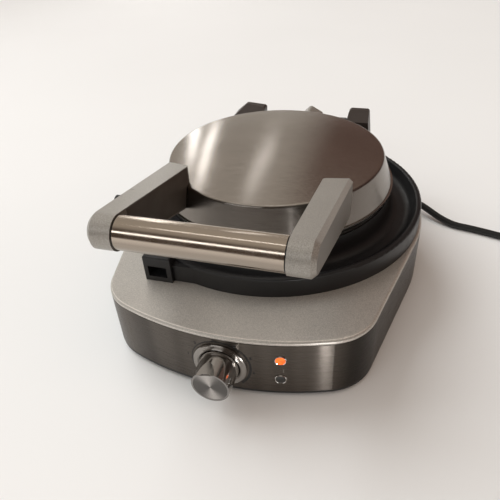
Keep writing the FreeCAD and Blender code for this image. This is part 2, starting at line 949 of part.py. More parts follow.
def make_heater(label, z, upside_down):
    """A tubular heater bent to an open ring behind its plate, with both ends turned away from it."""
    ring, wire, bend = SIZES["heater_round"], SIZES["heater_wire"], SIZES["heater_bend"]
    half = math.radians(SIZES["heater_gap"] / 2)
    level, low = plate_back.number - wire, reflector_face.number - SIZES["heater_tail"]
    up = Vector(0, 0, 1)
    starts, legs, knees, tails = [], [], [], []
    for side in (1, -1):
        start = Vector(ring * math.cos(half), side * ring * math.sin(half), level)
        outward = Vector(math.sin(half), -side * math.cos(half), 0)
        middle = start - up * bend
        starts.append(start)
        legs.append(middle + outward * bend)
        knees.append(middle + (outward + up).normalize() * bend)
        tails.append(Vector(legs[-1].x, legs[-1].y, low))
    path = Part.Wire([
        Part.makeLine(tails[0], legs[0]),
        Part.Arc(legs[0], knees[0], starts[0]).toShape(),
        Part.Arc(starts[0], Vector(-ring, 0, level), starts[1]).toShape(),
        Part.Arc(starts[1], knees[1], legs[1]).toShape(),
        Part.makeLine(legs[1], tails[1]),
    ])
    made = doc.addObject("Part::Feature", label)
    made.Shape = tube_along(path, wire)
    turn_over(made, upside_down)
    hand_in(place(made, 0, 0, z), label)


def make_reflector(label, z, upside_down):
    """A pressed dish behind the heater, held on the plate's bosses, with holes for screws and heater ends."""
    body = plate_body(label, z, upside_down)
    sheet_thick = dim("sheet_steel")
    flat, flare = reflector_round, reflector_flare
    top = reflector_face + dim("reflector_lip")
    dish = Profile(body, "XZ")
    dish.loop(
        (0, reflector_face - sheet_thick),
        (flat, reflector_face - sheet_thick),
        (flare, top),
        (flare - sheet_thick * 1.3, top),
        (flat - sheet_thick * 0.4, reflector_face),
        (0, reflector_face),
    )
    revolve(dish)
    holes = Profile(body, "XY", reflector_face - sheet_thick - PAST)
    for x, y in boss_spots():
        holes.circle(x, y, dim("screw_round"))
    leg_x, leg_y = heater_leg()
    for y in (leg_y, -leg_y):
        holes.circle(leg_x, y, dim("heater_wire") + dim("fit_gap"))
    pocket(holes, sheet_thick + 2 * PAST)
    hand_in(body, label)


def make_plate_screws(label, z, upside_down):
    seat, bite = reflector_face - dim("sheet_steel"), dim("sheet_steel") + dim("plate_screw_bite")
    screws = []
    for number, (x, y) in enumerate(boss_spots()):
        body = screw(f"{label}{number}", x, y, seat, bite)
        turn_over(body, upside_down)
        place(body, x, y, z)
        screws.append(body)
    group(label, screws)


# Lid: steel cover, liner, handle arms and tube


def lid_radius(height):
    """Outer radius of the tapering lid wall at a height."""
    share = (height - lid_lip) / (lid_rim - lid_lip)
    return lid_lip_round - (lid_lip_round - lid_rim_round) * share


def crown_radius(half, rise):
    return (half * half + rise * rise) / (rise * 2)


def make_lid_cover():
    body = new_body("lid_cover")
    steel = dim("sheet_steel")
    rim, high, crown = lid_rim_round, lid_rim, dim("lid_crown")
    apex = high + crown
    lip, low = lid_lip_round, lid_lip
    bead = dim("lid_bead")
    inner_rim = rim - steel * 1.3
    shell = Profile(body, "XZ")
    shell.loop(
        Arc(0, apex - steel, crown_radius(inner_rim, crown), 1),
        (0, apex),
        Arc(rim, high, crown_radius(rim, crown), -1),
        (lid_radius(low + bead * 2), low + bead * 2),
        (lip + bead, low + bead * 2),
        (lip + bead, low),
        (lip - steel * 1.2, low),
        (inner_rim, high - steel),
    )
    revolve(shell)
    fillet(body, dim("lid_edge"), is_ring(rim, high))
    fillet(body, dim("lid_edge") - steel, is_ring(inner_rim, high - steel))
    hand_in(body, "lid_cover")


def lid_form(name):
    """The outside of the lid as a plain solid, to trim what is fastened against it."""
    body = new_body(name)
    rim, high, crown = lid_rim_round, lid_rim, dim("lid_crown")
    low = lid_lip - dim("saddle_drop")
    solid = Profile(body, "XZ")
    solid.loop(
        (0, low),
        (lid_radius(low) + dim("fit_gap"), low),
        (rim + dim("fit_gap"), high + dim("fit_gap")),
        Arc(0, high + crown + dim("fit_gap"), crown_radius(rim + dim("fit_gap"), crown)),
    )
    revolve(solid)
    return body


def make_lid_liner():
    body = new_body("lid_liner")
    steel = dim("sheet_steel") * 1.2
    low, high = lid_under + 0.8, lid_under + dim("mould_depth")
    inner = dim("plate_round") + dim("fit_gap")
    ring = Profile(body, "XZ")
    seat = lid_lip + 1
    ring.loop(
        (inner, low),
        (lid_radius(seat) - steel - 1.5, low),
        (lid_radius(seat) - steel - 0.3, seat + 0.5),
        (lid_radius(high) - steel - 0.3, high),
        (inner, high),
    )
    revolve(ring)
    hand_in(body, "lid_liner")


def arm_side(profile):
    """Side view of an arm: straight top and underside that run into the round nose over the tube."""

    def touch(height, side):
        """Where the line from the back end meets the nose: above for side 1, below for side -1."""
        run, rise = tube_reach - arm_back, height - tube_height
        far = root(run * run + rise * rise)
        toward = arm_nose / far
        across = root(1 - toward * toward) * side
        y = (run * toward - rise * across) / far
        z = (rise * toward + run * across) / far
        return y * arm_nose - tube_reach, tube_height + z * arm_nose

    return profile.loop(
        (-arm_back, arm_back_low),
        (-arm_back, arm_back_top),
        touch(arm_back_top, 1),
        Arc(-tube_reach - arm_nose, tube_height, arm_nose),
        Arc(*touch(arm_back_low, -1), arm_nose),
    )


def arm_lines():
    """Slopes of the top and underside of an arm between its back end and its nose."""
    run = tube_reach - arm_back
    rise_top = (tube_height + arm_nose - arm_back_top) / run
    rise_low = (tube_height - arm_nose - arm_back_low) / run
    return rise_top, rise_low


def arm_height(reach, top=True):
    rise_top, rise_low = arm_lines()
    start = arm_back_top if top else arm_back_low
    return start + (rise_top if top else rise_low) * (reach - arm_back)


def latch_point(angle, reach):
    return reach * cosine(angle) - latch_reach, latch_height + reach * sine(angle)


def make_arm(label, side):
    """A cast arm, hollow and open below, tapering to the nose that holds the tube."""
    body = new_body(f"{label}_blank")
    inner, outer = dim("grip_half"), dim("arm_outer")
    start = inner if side > 0 else -outer
    pad(arm_side(Profile(body, "YZ", start)), outer - inner)
    taper = Profile(body, "XY")
    back, front = PAST - arm_back, -tube_reach - arm_nose - PAST
    corners = [(outer, back), (outer * 2, back), (outer * 2, front), (dim("arm_nose_outer"), front)]
    taper.loop(*[(x * side, y) for x, y in corners])
    pocket(taper, tube_height * 2)
    skew = Profile(body, "XY")
    slant = dim("arm_skew") / (outer - inner)
    far = slant * (outer - inner + PAST)
    corners = [(inner - PAST, -far), (outer + PAST, slant * PAST), (inner - PAST, PAST)]
    skew.loop(*[(x * side, y - arm_back) for x, y in corners])
    pocket(skew, tube_height * 2)

    def inner_end(edge):
        box = edge.BoundBox
        upright = box.YMax - box.YMin < 0.01 and box.ZMax - box.ZMin > arm_nose.number
        return upright and max(abs(box.XMin), abs(box.XMax)) < inner.number + 0.01

    def outer_top(edge):
        box = edge.BoundBox
        away = min(abs(box.XMin), abs(box.XMax)) > dim("arm_nose_outer").number - 1
        along = box.YMax - box.YMin > arm_nose.number / 4
        high = box.ZMax > tube_height.number - 1 and edge.CenterOfMass.z > arm_back_top.number
        return away and along and high

    fillet(body, dim("arm_end"), inner_end)
    chamfer(body, dim("arm_bevel"), outer_top)
    wall = dim("arm_wall")
    room_inner, room_outer = inner + wall + dim("arm_cover"), dim("arm_nose_outer") - wall
    hollow = Profile(body, "YZ", room_inner if side > 0 else -room_outer)
    end, deep = tube_reach - dim("arm_solid"), arm_back + dim("arm_root")
    roof, below = dim("arm_roof"), arm_nose
    hollow.loop(
        (-deep, arm_height(deep) - roof),
        (-end, arm_height(end) - roof),
        (-end, arm_height(end, False) - below),
        (-deep, arm_height(deep, False) - below),
    )
    pocket(hollow, room_outer - room_inner)
    seat = Profile(body, "YZ", (inner - PAST) if side > 0 else -(inner + dim("arm_cover")))
    cover_outline(seat, 0)
    pocket(seat, dim("arm_cover") + PAST)
    if side < 0:
        bore = Profile(body, "YZ", -outer - PAST)
        bore.circle(-latch_reach, latch_height, dim("latch_pin"))
        pocket(bore, outer - inner + 2 * PAST)
        slide = Profile(body, "YZ", -outer - PAST)
        margin = dim("latch_tab") / 2 + dim("slide_margin")
        near, far = dim("tab_reach") - margin, dim("tab_reach") + margin
        first, last = dim("tab_angle") - 15, dim("tab_angle") + 66
        slide.loop(
            Arc(*latch_point(first, near), near, -1),
            latch_point(first, far),
            Arc(*latch_point(last, far), far),
            latch_point(last, near),
        )
        pocket(slide, outer - room_outer + PAST * 2)
    cut(body, lid_form(f"{label}_trim"), label)


def cover_outline(profile, gap):
    """The black inner face of an arm, from the lid to just short of the nose."""
    rim, bend = dim("arm_cover_rim") + gap, dim("arm_cover_round")
    deep = arm_back + dim("arm_skew") + dim("arm_end") + gap
    end = tube_reach - dim("arm_solid") + dim("arm_cover") - gap
    return profile.loop(
        (-deep, arm_height(deep, False) + rim),
        (-deep, arm_height(deep) - rim),
        (-end, arm_height(end) - rim, bend),
        (-end, arm_height(end, False) + rim, bend),
    )


def make_arm_cover(label, side):
    body = new_body(f"{label}_blank")
    inner = dim("grip_half")
    start = inner if side > 0 else -(inner + dim("arm_cover"))
    pad(cover_outline(Profile(body, "YZ", start), dim("fit_gap")), dim("arm_cover"))
    cut(body, lid_form(f"{label}_trim"), label)


def make_handle_tube():
    body = new_body("handle_tube")
    half = dim("grip_half") - dim("collar_thick")
    ring = Profile(body, "YZ", -half)
    ring.circle(-tube_reach, tube_height, dim("tube_round"))
    ring.circle(-tube_reach, tube_height, dim("tube_round") - dim("tube_wall"))
    pad(ring, half * 2)
    hand_in(body, "handle_tube")


def make_tube_collars():
    """Black plugs that close the tube's ends and leave a thin dark line at the arms."""
    bore = dim("tube_round") - dim("tube_wall") - dim("seat_gap")
    collars = []
    for side in (-1, 1):
        body = new_body(f"tube_collar{side + 1}")
        flat = dim("grip_half") - dim("collar_thick")
        disc = Profile(body, "YZ", flat if side > 0 else -dim("grip_half"))
        disc.circle(-tube_reach, tube_height, dim("tube_round") - dim("collar_step"))
        pad(disc, dim("collar_thick"))
        plug = Profile(body, "YZ", (flat - dim("collar_plug")) if side > 0 else -flat)
        plug.circle(-tube_reach, tube_height, bore)
        pad(plug, dim("collar_plug"))
        collars.append(body)
    group("tube_collars", collars)


# Storage latch in the left arm


def make_storage_latch():
    """A hooked lever, drawn as it lies in the arm: it points forward and its hook points down."""
    body = new_body("storage_latch")
    middle = (dim("grip_half") + dim("arm_cover") + dim("arm_nose_outer")) / 2
    width, thick = dim("latch_width"), dim("latch_thick")
    start = -(middle + width / 2)
    y0, z0 = -latch_reach, latch_height
    # In the catch the lever stands just clear of the catch's front
    stand = dim("latch_set_back") + dim("latch_clear")
    drop = latch_height - (window_low + window_high) / 2
    elbow = latch_height - catch_top - dim("latch_clear") * 2
    tip = dim("latch_set_back") - dim("latch_hook")
    boss = dim("latch_boss")
    lever = Profile(body, "YZ", start)
    lever.loop(
        (y0, z0 + boss * 0.9),
        (y0 - elbow + thick, z0 + stand + thick, thick / 2),
        (y0 - drop - thick / 2, z0 + stand + thick, thick / 2),
        (y0 - drop - thick / 2, z0 + tip),
        (y0 - drop + thick / 2, z0 + tip),
        (y0 - drop + thick / 2, z0 + stand),
        (y0 - elbow, z0 + stand, thick / 2),
        (y0 - boss * 0.8, z0 - boss / 2),
        (y0, z0 - boss / 2),
    )
    pad(lever, width)
    hub = Profile(body, "YZ", start)
    hub.circle(y0, z0, boss)
    pad(hub, width)
    tab_y, tab_z = latch_point(dim("tab_angle"), dim("tab_reach"))
    tab = Profile(body, "YZ", -(dim("arm_outer") + dim("tab_proud")))
    half, bend = dim("latch_tab") / 2, dim("slide_margin")
    tab.loop(
        (tab_y - half, tab_z - half, bend),
        (tab_y + half, tab_z - half, bend),
        (tab_y + half, tab_z + half, bend),
        (tab_y - half, tab_z + half, bend),
    )
    pad(tab, dim("arm_outer") + dim("tab_proud") - middle)
    # The thumb piece stands clear of the arm's outer face
    thumb = Profile(body, "YZ", -(dim("arm_outer") + dim("tab_proud")))
    wide, high = dim("thumb_half"), tab_z + dim("thumb_rise")
    thumb.loop(
        (tab_y - wide, tab_z - half, bend),
        (tab_y + wide, tab_z - half, bend),
        (tab_y + wide, high, bend * 2),
        (tab_y - wide, high, bend * 2),
    )
    pad(thumb, dim("tab_proud") - dim("thumb_gap"))
    bore = Profile(body, "YZ", start - PAST)
    bore.circle(y0, z0, dim("latch_pin") + dim("latch_ease"))
    pocket(bore, width + 2 * PAST)
    hand_in(body, "storage_latch")


def make_latch_pin():
    body = new_body("latch_pin")
    rod = Profile(body, "YZ", -dim("arm_nose_outer"))
    rod.circle(-latch_reach, latch_height, dim("latch_pin"))
    pad(rod, dim("arm_nose_outer") - dim("grip_half") - dim("arm_cover"))
    hand_in(body, "latch_pin")


# Hinge: housing, posts, pins, bracket on the lid and the cover over the leads


def make_rear_housing():
    body = new_body("rear_housing")
    half, hug = dim("housing_half"), housing_hug
    plan = Profile(body, "XY", dim("foot_height"))
    plan.loop(
        Arc(half, housing_seam, hug, -1),
        (half, rear_reach, dim("housing_round")),
        (-half, rear_reach, dim("housing_round")),
        (-half, housing_seam),
        Arc(0, hug, hug, -1),
    )
    pad(plan, housing_top - dim("foot_height"))

    def top_edge(edge):
        box = edge.BoundBox
        return abs(box.ZMin - housing_top.number) < 0.01 and box.YMax > base_round.number + 1

    fillet(body, dim("housing_edge"), top_edge)
    hand_in(body, "rear_housing")


def make_hinge_post(label, side):
    """A dark upright with a slanted brow that carries one hinge pin; the left one is winged."""
    body = new_body(label)
    inner, outer = post_inner, post_outer
    back = rear_reach - dim("post_inset")
    face = Profile(body, "XZ", -back)
    low, high, bend = housing_top, post_top, dim("post_edge")
    shoulder, foot = high - dim("post_shoulder"), outer + dim("post_flare")
    if side > 0:
        crown = [(outer, high, bend), (inner + dim("post_lean"), high, bend), (inner, shoulder)]
        face.loop((foot, low), *crown, (inner, low))
    else:
        crown = [(-inner, high - dim("post_fall"), bend), (-outer, high, bend)]
        face.loop((-inner, low), *crown, (-outer - dim("post_wing"), shoulder), (-foot, low))
    pad(face, back - post_front)

    def back_top(edge):
        box = edge.BoundBox
        return box.YMin > back.number - 0.1 and box.ZMin > post_top.number - SIZES["post_edge"] - 0.5

    fillet(body, dim("post_edge"), back_top)
    width = outer + dim("post_wing") - inner + PAST * 2
    brow, crest = hinge_height + dim("post_brow"), back - dim("post_crest")
    fall = (high - brow) / (crest - post_front)
    slant = Profile(body, "YZ", (inner - PAST) if side > 0 else -(inner - PAST) - width)
    slant.loop(
        (post_front - PAST, brow - fall * PAST),
        (crest + PAST, high + fall * PAST),
        (post_front - PAST, high + fall * PAST),
    )
    pocket(slant, width)
    bore = Profile(body, "YZ", (inner - PAST) if side > 0 else -(inner + dim("pin_bury")))
    bore.circle(hinge_back, hinge_height, dim("hinge_pin") + dim("seat_gap"))
    pocket(bore, dim("pin_bury") + PAST)
    hand_in(body, label)


def make_hinge_pins():
    """Two pins, each pressed into its post and running in a knuckle of the lid's bracket."""
    start, end = dim("knuckle_inner") + PAST, post_inner + dim("pin_bury")
    rods = []
    for side in (-1, 1):
        name, low = f"hinge_pin{side + 1}", start if side > 0 else -end
        rods.append(cylinder(name, dim("hinge_pin"), end - start, low, hinge_back, hinge_height, "X"))
    group("hinge_pins", rods)


def make_hinge_bracket():
    """A casting on the rear of the lid: a saddle against the lid's wall and two arms with knuckles."""
    body = new_body("hinge_bracket_blank")
    half = dim("knuckle_outer")
    low, high = lid_lip + dim("saddle_lift"), lid_rim - dim("saddle_drop")
    saddle = Profile(body, "XY", low)
    back, inside = lid_lip_round + dim("saddle_back"), lid_rim_round - dim("knuckle_round") * 2
    bend = dim("saddle_back")
    saddle.loop((-half, inside), (half, inside), (half, back, bend), (-half, back, bend))
    pad(saddle, high - low)
    width = half - dim("knuckle_inner")
    axis_y, axis_z = hinge_back, hinge_height
    knuckle = dim("knuckle_round")
    for side in (-1, 1):
        start = dim("knuckle_inner") if side > 0 else -half
        web = Profile(body, "YZ", start)
        web.loop(
            (lid_rim_round, low),
            (back, low),
            (axis_y, axis_z - knuckle),
            (axis_y, axis_z + knuckle),
            (back, high),
            (lid_rim_round, high),
        )
        pad(web, width)
        barrel = Profile(body, "YZ", start)
        barrel.circle(axis_y, axis_z, knuckle)
        pad(barrel, width)
        bore = Profile(body, "YZ", start - PAST)
        bore.circle(axis_y, axis_z, dim("hinge_pin") + dim("hinge_ease"))
        pocket(bore, width + 2 * PAST)
    cut(body, lid_form("hinge_bracket_trim"), "hinge_bracket")


def make_lead_cover():
    """The hump between the posts, over the leads that enter the lid."""
    body = new_body("lead_cover")
    start, end = lid_lip_round + dim("saddle_back"), hinge_back + dim("lead_behind")
    low, high = lid_lip + dim("saddle_lift"), lead_top
    middle, half, bend = dim("lead_side"), dim("lead_width") / 2, dim("lead_edge")
    hump = Profile(body, "XZ", -end)
    hump.loop(
        (middle - half, low),
        (middle + half, low),
        (middle + half, high - dim("lead_shoulder"), bend),
        (middle - dim("lead_lean"), high, dim("lead_peak")),
        (middle - half, high - dim("lead_shoulder"), bend),
    )
    pad(hump, end - start)

    def rims(edge):
        box = edge.BoundBox
        flat = box.YMax - box.YMin < 0.01
        return flat and box.ZMin > low.number + 1

    fillet(body, bend / 2, rims)
    hand_in(body, "lead_cover")


# Controls on the bowed front panel


def turned_on_panel(name, *corners):
    """A piece turned about the dial's axis, from corners (radius, distance in front of the panel)."""
    body = new_body(name, 0, -panel_reach, dim("dial_height"))
    side = Profile(body, "XY")
    side.loop(*[(c[0], -as_size(c[1]), *c[2:]) for c in corners])
    revolve(side)
    return body


def make_dial_bezel():
    """A stepped ring on the panel, trimmed behind to the panel's bow, with a spigot through the steel."""
    outer, spigot, bore = dim("bezel_round"), dim("bezel_spigot"), dim("bezel_bore")
    thick, deep, step = dim("bezel_thick"), -dim("spigot_depth"), dim("bezel_step")
    body = turned_on_panel(
        "dial_bezel_blank",
        (bore, deep),
        (bore, thick - step),
        (spigot, thick),
        (spigot + step, thick - step),
        (outer - step, thick - step),
        (outer, thick - step * 2),
        (outer, deep),
        (spigot, deep),
    )
    panel = new_body("panel_form")
    round_panel = Profile(panel, "XY")
    round_panel.circle(0, bow_centre, dim("panel_bow"))
    pad(round_panel, dim("deck_top"))
    form = doc.addObject("Part::Cut", "panel_form_open")
    form.Base = panel
    form.Tool = cylinder("spigot_way", spigot, panel_reach + PAST, 0, 0, dim("dial_height"), "-Y")
    cut(body, form, "dial_bezel")


def make_dial():
    """A long polished knob with a slanted pointer flat, its spun end cap and the thermostat's spindle."""
    grip, reach, spindle = dim("knob_round"), dim("knob_reach"), dim("spindle_round")
    cap, face = reach - dim("cap_thick"), grip - dim("knob_lip")
    socket = cap - dim("spindle_seat")
    body = turned_on_panel(
        "dial_knob",
        (spindle + dim("seat_gap"), dim("knob_clear")),
        (spindle + dim("seat_gap"), socket),
        (0, socket),
        (0, cap),
        (face, cap),
        (face, reach),
        (grip, reach),
        (dim("knob_base"), dim("knob_clear")),
    )
    over, past = grip + PAST, -reach - PAST
    flat = Profile(body, "YZ")
    flat.loop((-reach / 4, over), (past, grip - dim("pointer_drop")), (past, over))
    pocket(flat, dim("pointer_width"), symmetric=True)
    hand_in(body, "dial_knob")
    gap = dim("fit_gap") / 2
    edge, front = face - gap, reach - gap
    disc = turned_on_panel("dial_cap", (0, cap), (edge, cap), (edge, front), (0, front))
    trim = Profile(disc, "YZ")
    low = grip - dim("pointer_drop") - gap
    trim.loop((-cap + PAST, low), (past, low), (past, over), (-cap + PAST, over))
    pocket(trim, dim("pointer_width") + gap * 2, symmetric=True)
    hand_in(disc, "dial_cap")
    for piece in (body, disc):
        piece.Placement.Rotation = FreeCAD.Rotation(Vector(0, -1, 0), SIZES["dial_turn"])
        bind(piece, "Placement.Rotation.Angle", dim("dial_turn"))
    tail = dim("spindle_tail")
    rod = cylinder("dial_spindle", spindle, socket + tail, 0, tail - panel_reach, dim("dial_height"), "-Y")
    hand_in(rod, "dial_spindle")


def make_thermostat():
    """A boxed thermostat behind the panel, on a bracket that stands on the pan."""
    face, level = panel_reach - dim("thermostat_behind"), dim("dial_height")
    half, rise = dim("thermostat_width") / 2, dim("thermostat_tall") / 2
    deep, neck, sheet_thick = dim("thermostat_deep"), dim("neck_round"), dim("bracket_sheet")
    body = new_body("thermostat")
    case = Profile(body, "XZ", face - deep)
    case.loop((-half, level - rise), (half, level - rise), (half, level + rise), (-half, level + rise))
    pad(case, deep)
    collar = Profile(body, "XZ", face)
    collar.circle(0, level, neck)
    pad(collar, dim("neck_length"))
    bore = Profile(body, "XZ", face - deep / 2)
    bore.circle(0, level, dim("spindle_round") + dim("spindle_ease"))
    pocket(bore, deep / 2 + dim("neck_length") + PAST)
    hand_in(body, "thermostat")
    side, top = half + dim("bracket_margin"), level + rise + dim("bracket_margin")
    bend, heel = dim("bracket_margin"), dim("bracket_foot") - face
    bracket = new_body("thermostat_bracket")
    upright = Profile(bracket, "XZ", face)
    upright.loop((-side, wrap_low), (side, wrap_low), (side, top, bend), (-side, top, bend))
    upright.circle(0, level, neck)
    pad(upright, sheet_thick)
    foot = Profile(bracket, "XY", wrap_low)
    foot.loop((-side, -face), (side, -face), (side, heel, bend), (-side, heel, bend))
    pad(foot, sheet_thick)
    hand_in(bracket, "thermostat_bracket")


def make_lamps():
    """Two domed lenses in thin chrome rings, with their board behind."""
    radius, proud, sleeve = dim("lamp_round"), dim("lens_proud"), dim("lamp_sleeve")
    shoulder, gap = proud - dim("lens_crown"), dim("fit_gap") / 2
    rings = []
    for label, height in (("power_lamp", dim("lamp_high")), ("ready_lamp", dim("lamp_low"))):
        lens = doc.addObject("PartDesign::Body", label)
        side = Profile(lens, "XY")
        bulge = crown_radius(lens_round, dim("lens_crown"))
        deep = dim("lens_depth")
        side.loop((0, deep), (lens_round, deep), (lens_round, -shoulder), Arc(0, -proud, bulge, -1))
        revolve(side)
        lamp_turned(lens, height)
        hand_in(lens, label)
        band = doc.addObject("PartDesign::Body", f"{label}_ring")
        side = Profile(band, "XY")
        side.loop(
            (lens_round, deep / 3),
            (lens_round, -shoulder),
            (radius, -shoulder - gap * 2),
            (lamp_ring, -sleeve),
            (lamp_ring, -gap),
            (radius, -gap),
            (radius, deep / 3),
        )
        revolve(side)
        lamp_turned(band, height)
        rings.append(band)
    group("lamp_rings", rings)
    board = doc.addObject("PartDesign::Body", "lamp_board")
    thick, half = dim("board_thick"), dim("board_width") / 2
    plate = Profile(board, "XZ", -dim("lens_depth") - thick)
    middle = (dim("lamp_high") + dim("lamp_low")) / 2
    tall = (dim("lamp_high") - dim("lamp_low")) / 2 + dim("board_margin")
    plate.loop((-half, -tall), (half, -tall), (half, tall), (-half, tall))
    pad(plate, thick)
    lamp_turned(board, middle)
    hand_in(board, "lamp_board")


def make_terminal_block():
    """A block with three wire entries at the rear of the pan."""
    body = new_body("terminal_block")
    x, y = dim("terminal_side"), dim("terminal_back")
    half, deep = dim("terminal_width") / 2, dim("terminal_deep") / 2
    plan = Profile(body, "XY", wrap_low)
    plan.loop((x - half, y - deep), (x + half, y - deep), (x + half, y + deep), (x - half, y + deep))
    pad(plan, dim("terminal_tall"))
    entry = Profile(body, "XZ", -(y + deep) - PAST)
    level = wrap_low + dim("terminal_tall") / 2
    for step in (-1, 0, 1):
        entry.circle(x + dim("terminal_pitch") * step, level, dim("terminal_hole"))
    pocket(entry, deep + PAST)
    hand_in(body, "terminal_block")


# Mains cord: gland, lead, coil, tie and plug


def lead_points():
    """Corners of the cord's route from the gland over the floor to the coil, about the plate axis."""
    level = SIZES["cord_round"]
    gland = SIZES["housing_half"] + SIZES["gland_length"]
    return [
        Vector(gland, gland_back.number, SIZES["gland_height"]),
        Vector(127.5, gland_back.number, SIZES["gland_height"]),
        Vector(166, 94, level),
        Vector(192, 83.3, level),
        Vector(222, 74.2, level),
        Vector(250, 67.2, level + 0.3),
        Vector(276, 62.2, SIZES["coil_lift"]),
    ]


def rounded_route(points):
    """Straight runs joined by arcs that each take up to 0.45 of the shorter run; prints the radii."""
    edges, radii = [], []
    last = points[0]
    for before, corner, after in zip(points, points[1:], points[2:]):
        into = (corner - before).normalize()
        out = (after - corner).normalize()
        bend = into.getAngle(out)
        run = 0.45 * min(before.distanceToPoint(corner), corner.distanceToPoint(after))
        radii.append(run / math.tan(bend / 2))
        first, final = corner - into * run, corner + out * run
        middle_line = (out - into).normalize()
        sag = radii[-1] * (1 / math.cos(bend / 2) - 1)
        edges.append(Part.makeLine(last, first))
        edges.append(Part.Arc(first, corner + middle_line * sag, final).toShape())
        last = final
    edges.append(Part.makeLine(last, points[-1]))
    print("cord bend radii", [round(r, 1) for r in radii])
    return Part.Wire(edges)


def biarc(start, heading, end, final):
    """Two arcs that leave start along heading and reach end along final."""
    gap = end - start
    both = heading + final
    turn = 2 * (1 - heading.dot(final))
    along = gap.dot(both)
    if turn < 1e-9:
        reach = gap.dot(gap) / (2 * along)
    else:
        reach = (math.sqrt(along * along + turn * gap.dot(gap)) - along) / turn
    first, second = start + heading * reach, end - final * reach
    joint = (first + second) * 0.5
    arcs = []
    for a, knee, b in ((start, first, joint), (joint, second, end)):
        half = a.distanceToPoint(b) / 2
        middle = (a + b) * 0.5
        lift = knee - middle
        quarter = math.atan2(lift.Length, half) / 2
        arcs.append(Part.Arc(a, middle + lift.normalize() * half * math.tan(quarter), b).toShape())
    return arcs


COIL_TURNS = 2.25


def coil_frame():
    """Centre of the coil and the angle at which the cord meets it."""
    points = lead_points()
    heading = points[-1] - points[-2]
    heading.z = 0
    heading.normalize()
    left = Vector(-heading.y, heading.x, 0)
    outer = SIZES["coil_round"] + SIZES["coil_pitch"] * COIL_TURNS / 4
    return points[-1] + heading * SIZES["cord_round"] * 2 + left * outer, math.atan2(-left.y, -left.x), outer


def coil_point(share):
    """A point of the coil: it spirals in on the floor, climbs while it reverses, and spirals out on top."""
    centre, start, outer = coil_frame()
    half = COIL_TURNS / 2
    turns = share * COIL_TURNS
    radius = outer - SIZES["coil_pitch"] * (half - abs(turns - half))
    climb = min(max((turns - half + 0.25) / 0.5, 0.0), 1.0)
    rise = SIZES["coil_layer"] * (1 - math.cos(math.pi * climb)) / 2
    angle = start + 2 * math.pi * turns
    x, y = centre.x + radius * math.cos(angle), centre.y + radius * math.sin(angle)
    return Vector(x, y, SIZES["coil_lift"] + rise)


def coil_heading(share):
    step = 1e-5
    return (coil_point(min(share + step, 1)) - coil_point(max(share - step, 0))).normalize()


def coil_wire():
    """The coil on quarter-turn biarcs, with a straight piece one diameter long at each end."""
    quarters = round(COIL_TURNS * 4)
    shares = [n / quarters for n in range(quarters + 1)]
    stub = SIZES["cord_round"] * 2
    edges = [Part.makeLine(coil_point(0) - coil_heading(0) * stub, coil_point(0))]
    for a, b in zip(shares, shares[1:]):
        edges.extend(biarc(coil_point(a), coil_heading(a), coil_point(b), coil_heading(b)))
    edges.append(Part.makeLine(coil_point(1), coil_point(1) + coil_heading(1) * stub))
    return Part.Wire(edges)


def measure_coil(wire):
    """Print the least gap between turns of the coil, measured on points along it."""
    points = wire.discretize(Distance=2.0)
    skip = int(math.pi * SIZES["coil_round"] / 2.0 / 2)
    least = min(a.distanceToPoint(b) for i, a in enumerate(points) for b in points[i + skip:])
    print("coil length", round(wire.Length, 1), "least gap", round(least - 2 * SIZES["cord_round"], 2))


def soft_piece(label, shape):
    made = doc.addObject("Part::Feature", label)
    made.Shape = shape if shape.Placement.isIdentity() else Part.makeCompound([shape])
    place(made)
    return hand_in(made, label)


def make_cord():
    route = rounded_route(lead_points())
    lead = tube_along(route, SIZES["cord_round"])
    share = lead.Volume / (route.Length * math.pi * SIZES["cord_round"] ** 2)
    print("cord lead length", round(route.Length, 1), "volume share", round(share, 4))
    soft_piece("cord_lead", lead)
    wire = coil_wire()
    measure_coil(wire)
    soft_piece("cord_coil", tube_along(wire, SIZES["cord_round"]))


def make_cord_gland():
    """A ribbed strain relief that points out of the side of the rear housing."""
    body = new_body("cord_gland", dim("housing_half"), gland_back, dim("gland_height"))
    side = Profile(body, "XY")
    cord, length = dim("cord_round"), dim("gland_length")
    flange, thick, groove = cord + dim("gland_flange"), dim("gland_flange_thick"), dim("gland_groove")
    root_round, tip_round = cord + groove * 1.6, cord + groove * 0.6
    side.loop((0, 0), (0, flange), (thick, flange), (thick, root_round), (length, tip_round), (length, 0))
    revolve(side, "H_Axis")
    ring = Profile(body, "XY")
    near, floor = thick + groove, cord + groove * 0.7
    ring.loop((near, floor), (near + groove, floor), (near + groove, flange), (near, flange))
    ribs = revolve(ring, "H_Axis", "Groove")
    repeat(body, ribs, "X", 4, dim("groove_pitch"))
    hand_in(body, "cord_gland")


def turned_plug():
    """Where the cord leaves the coil, as a placement whose Z axis runs along the cord."""
    heading = coil_heading(1)
    end = coil_point(1) + heading * SIZES["cord_round"] * 2
    return FreeCAD.Placement(end, FreeCAD.Rotation(Vector(0, 0, 1), heading))


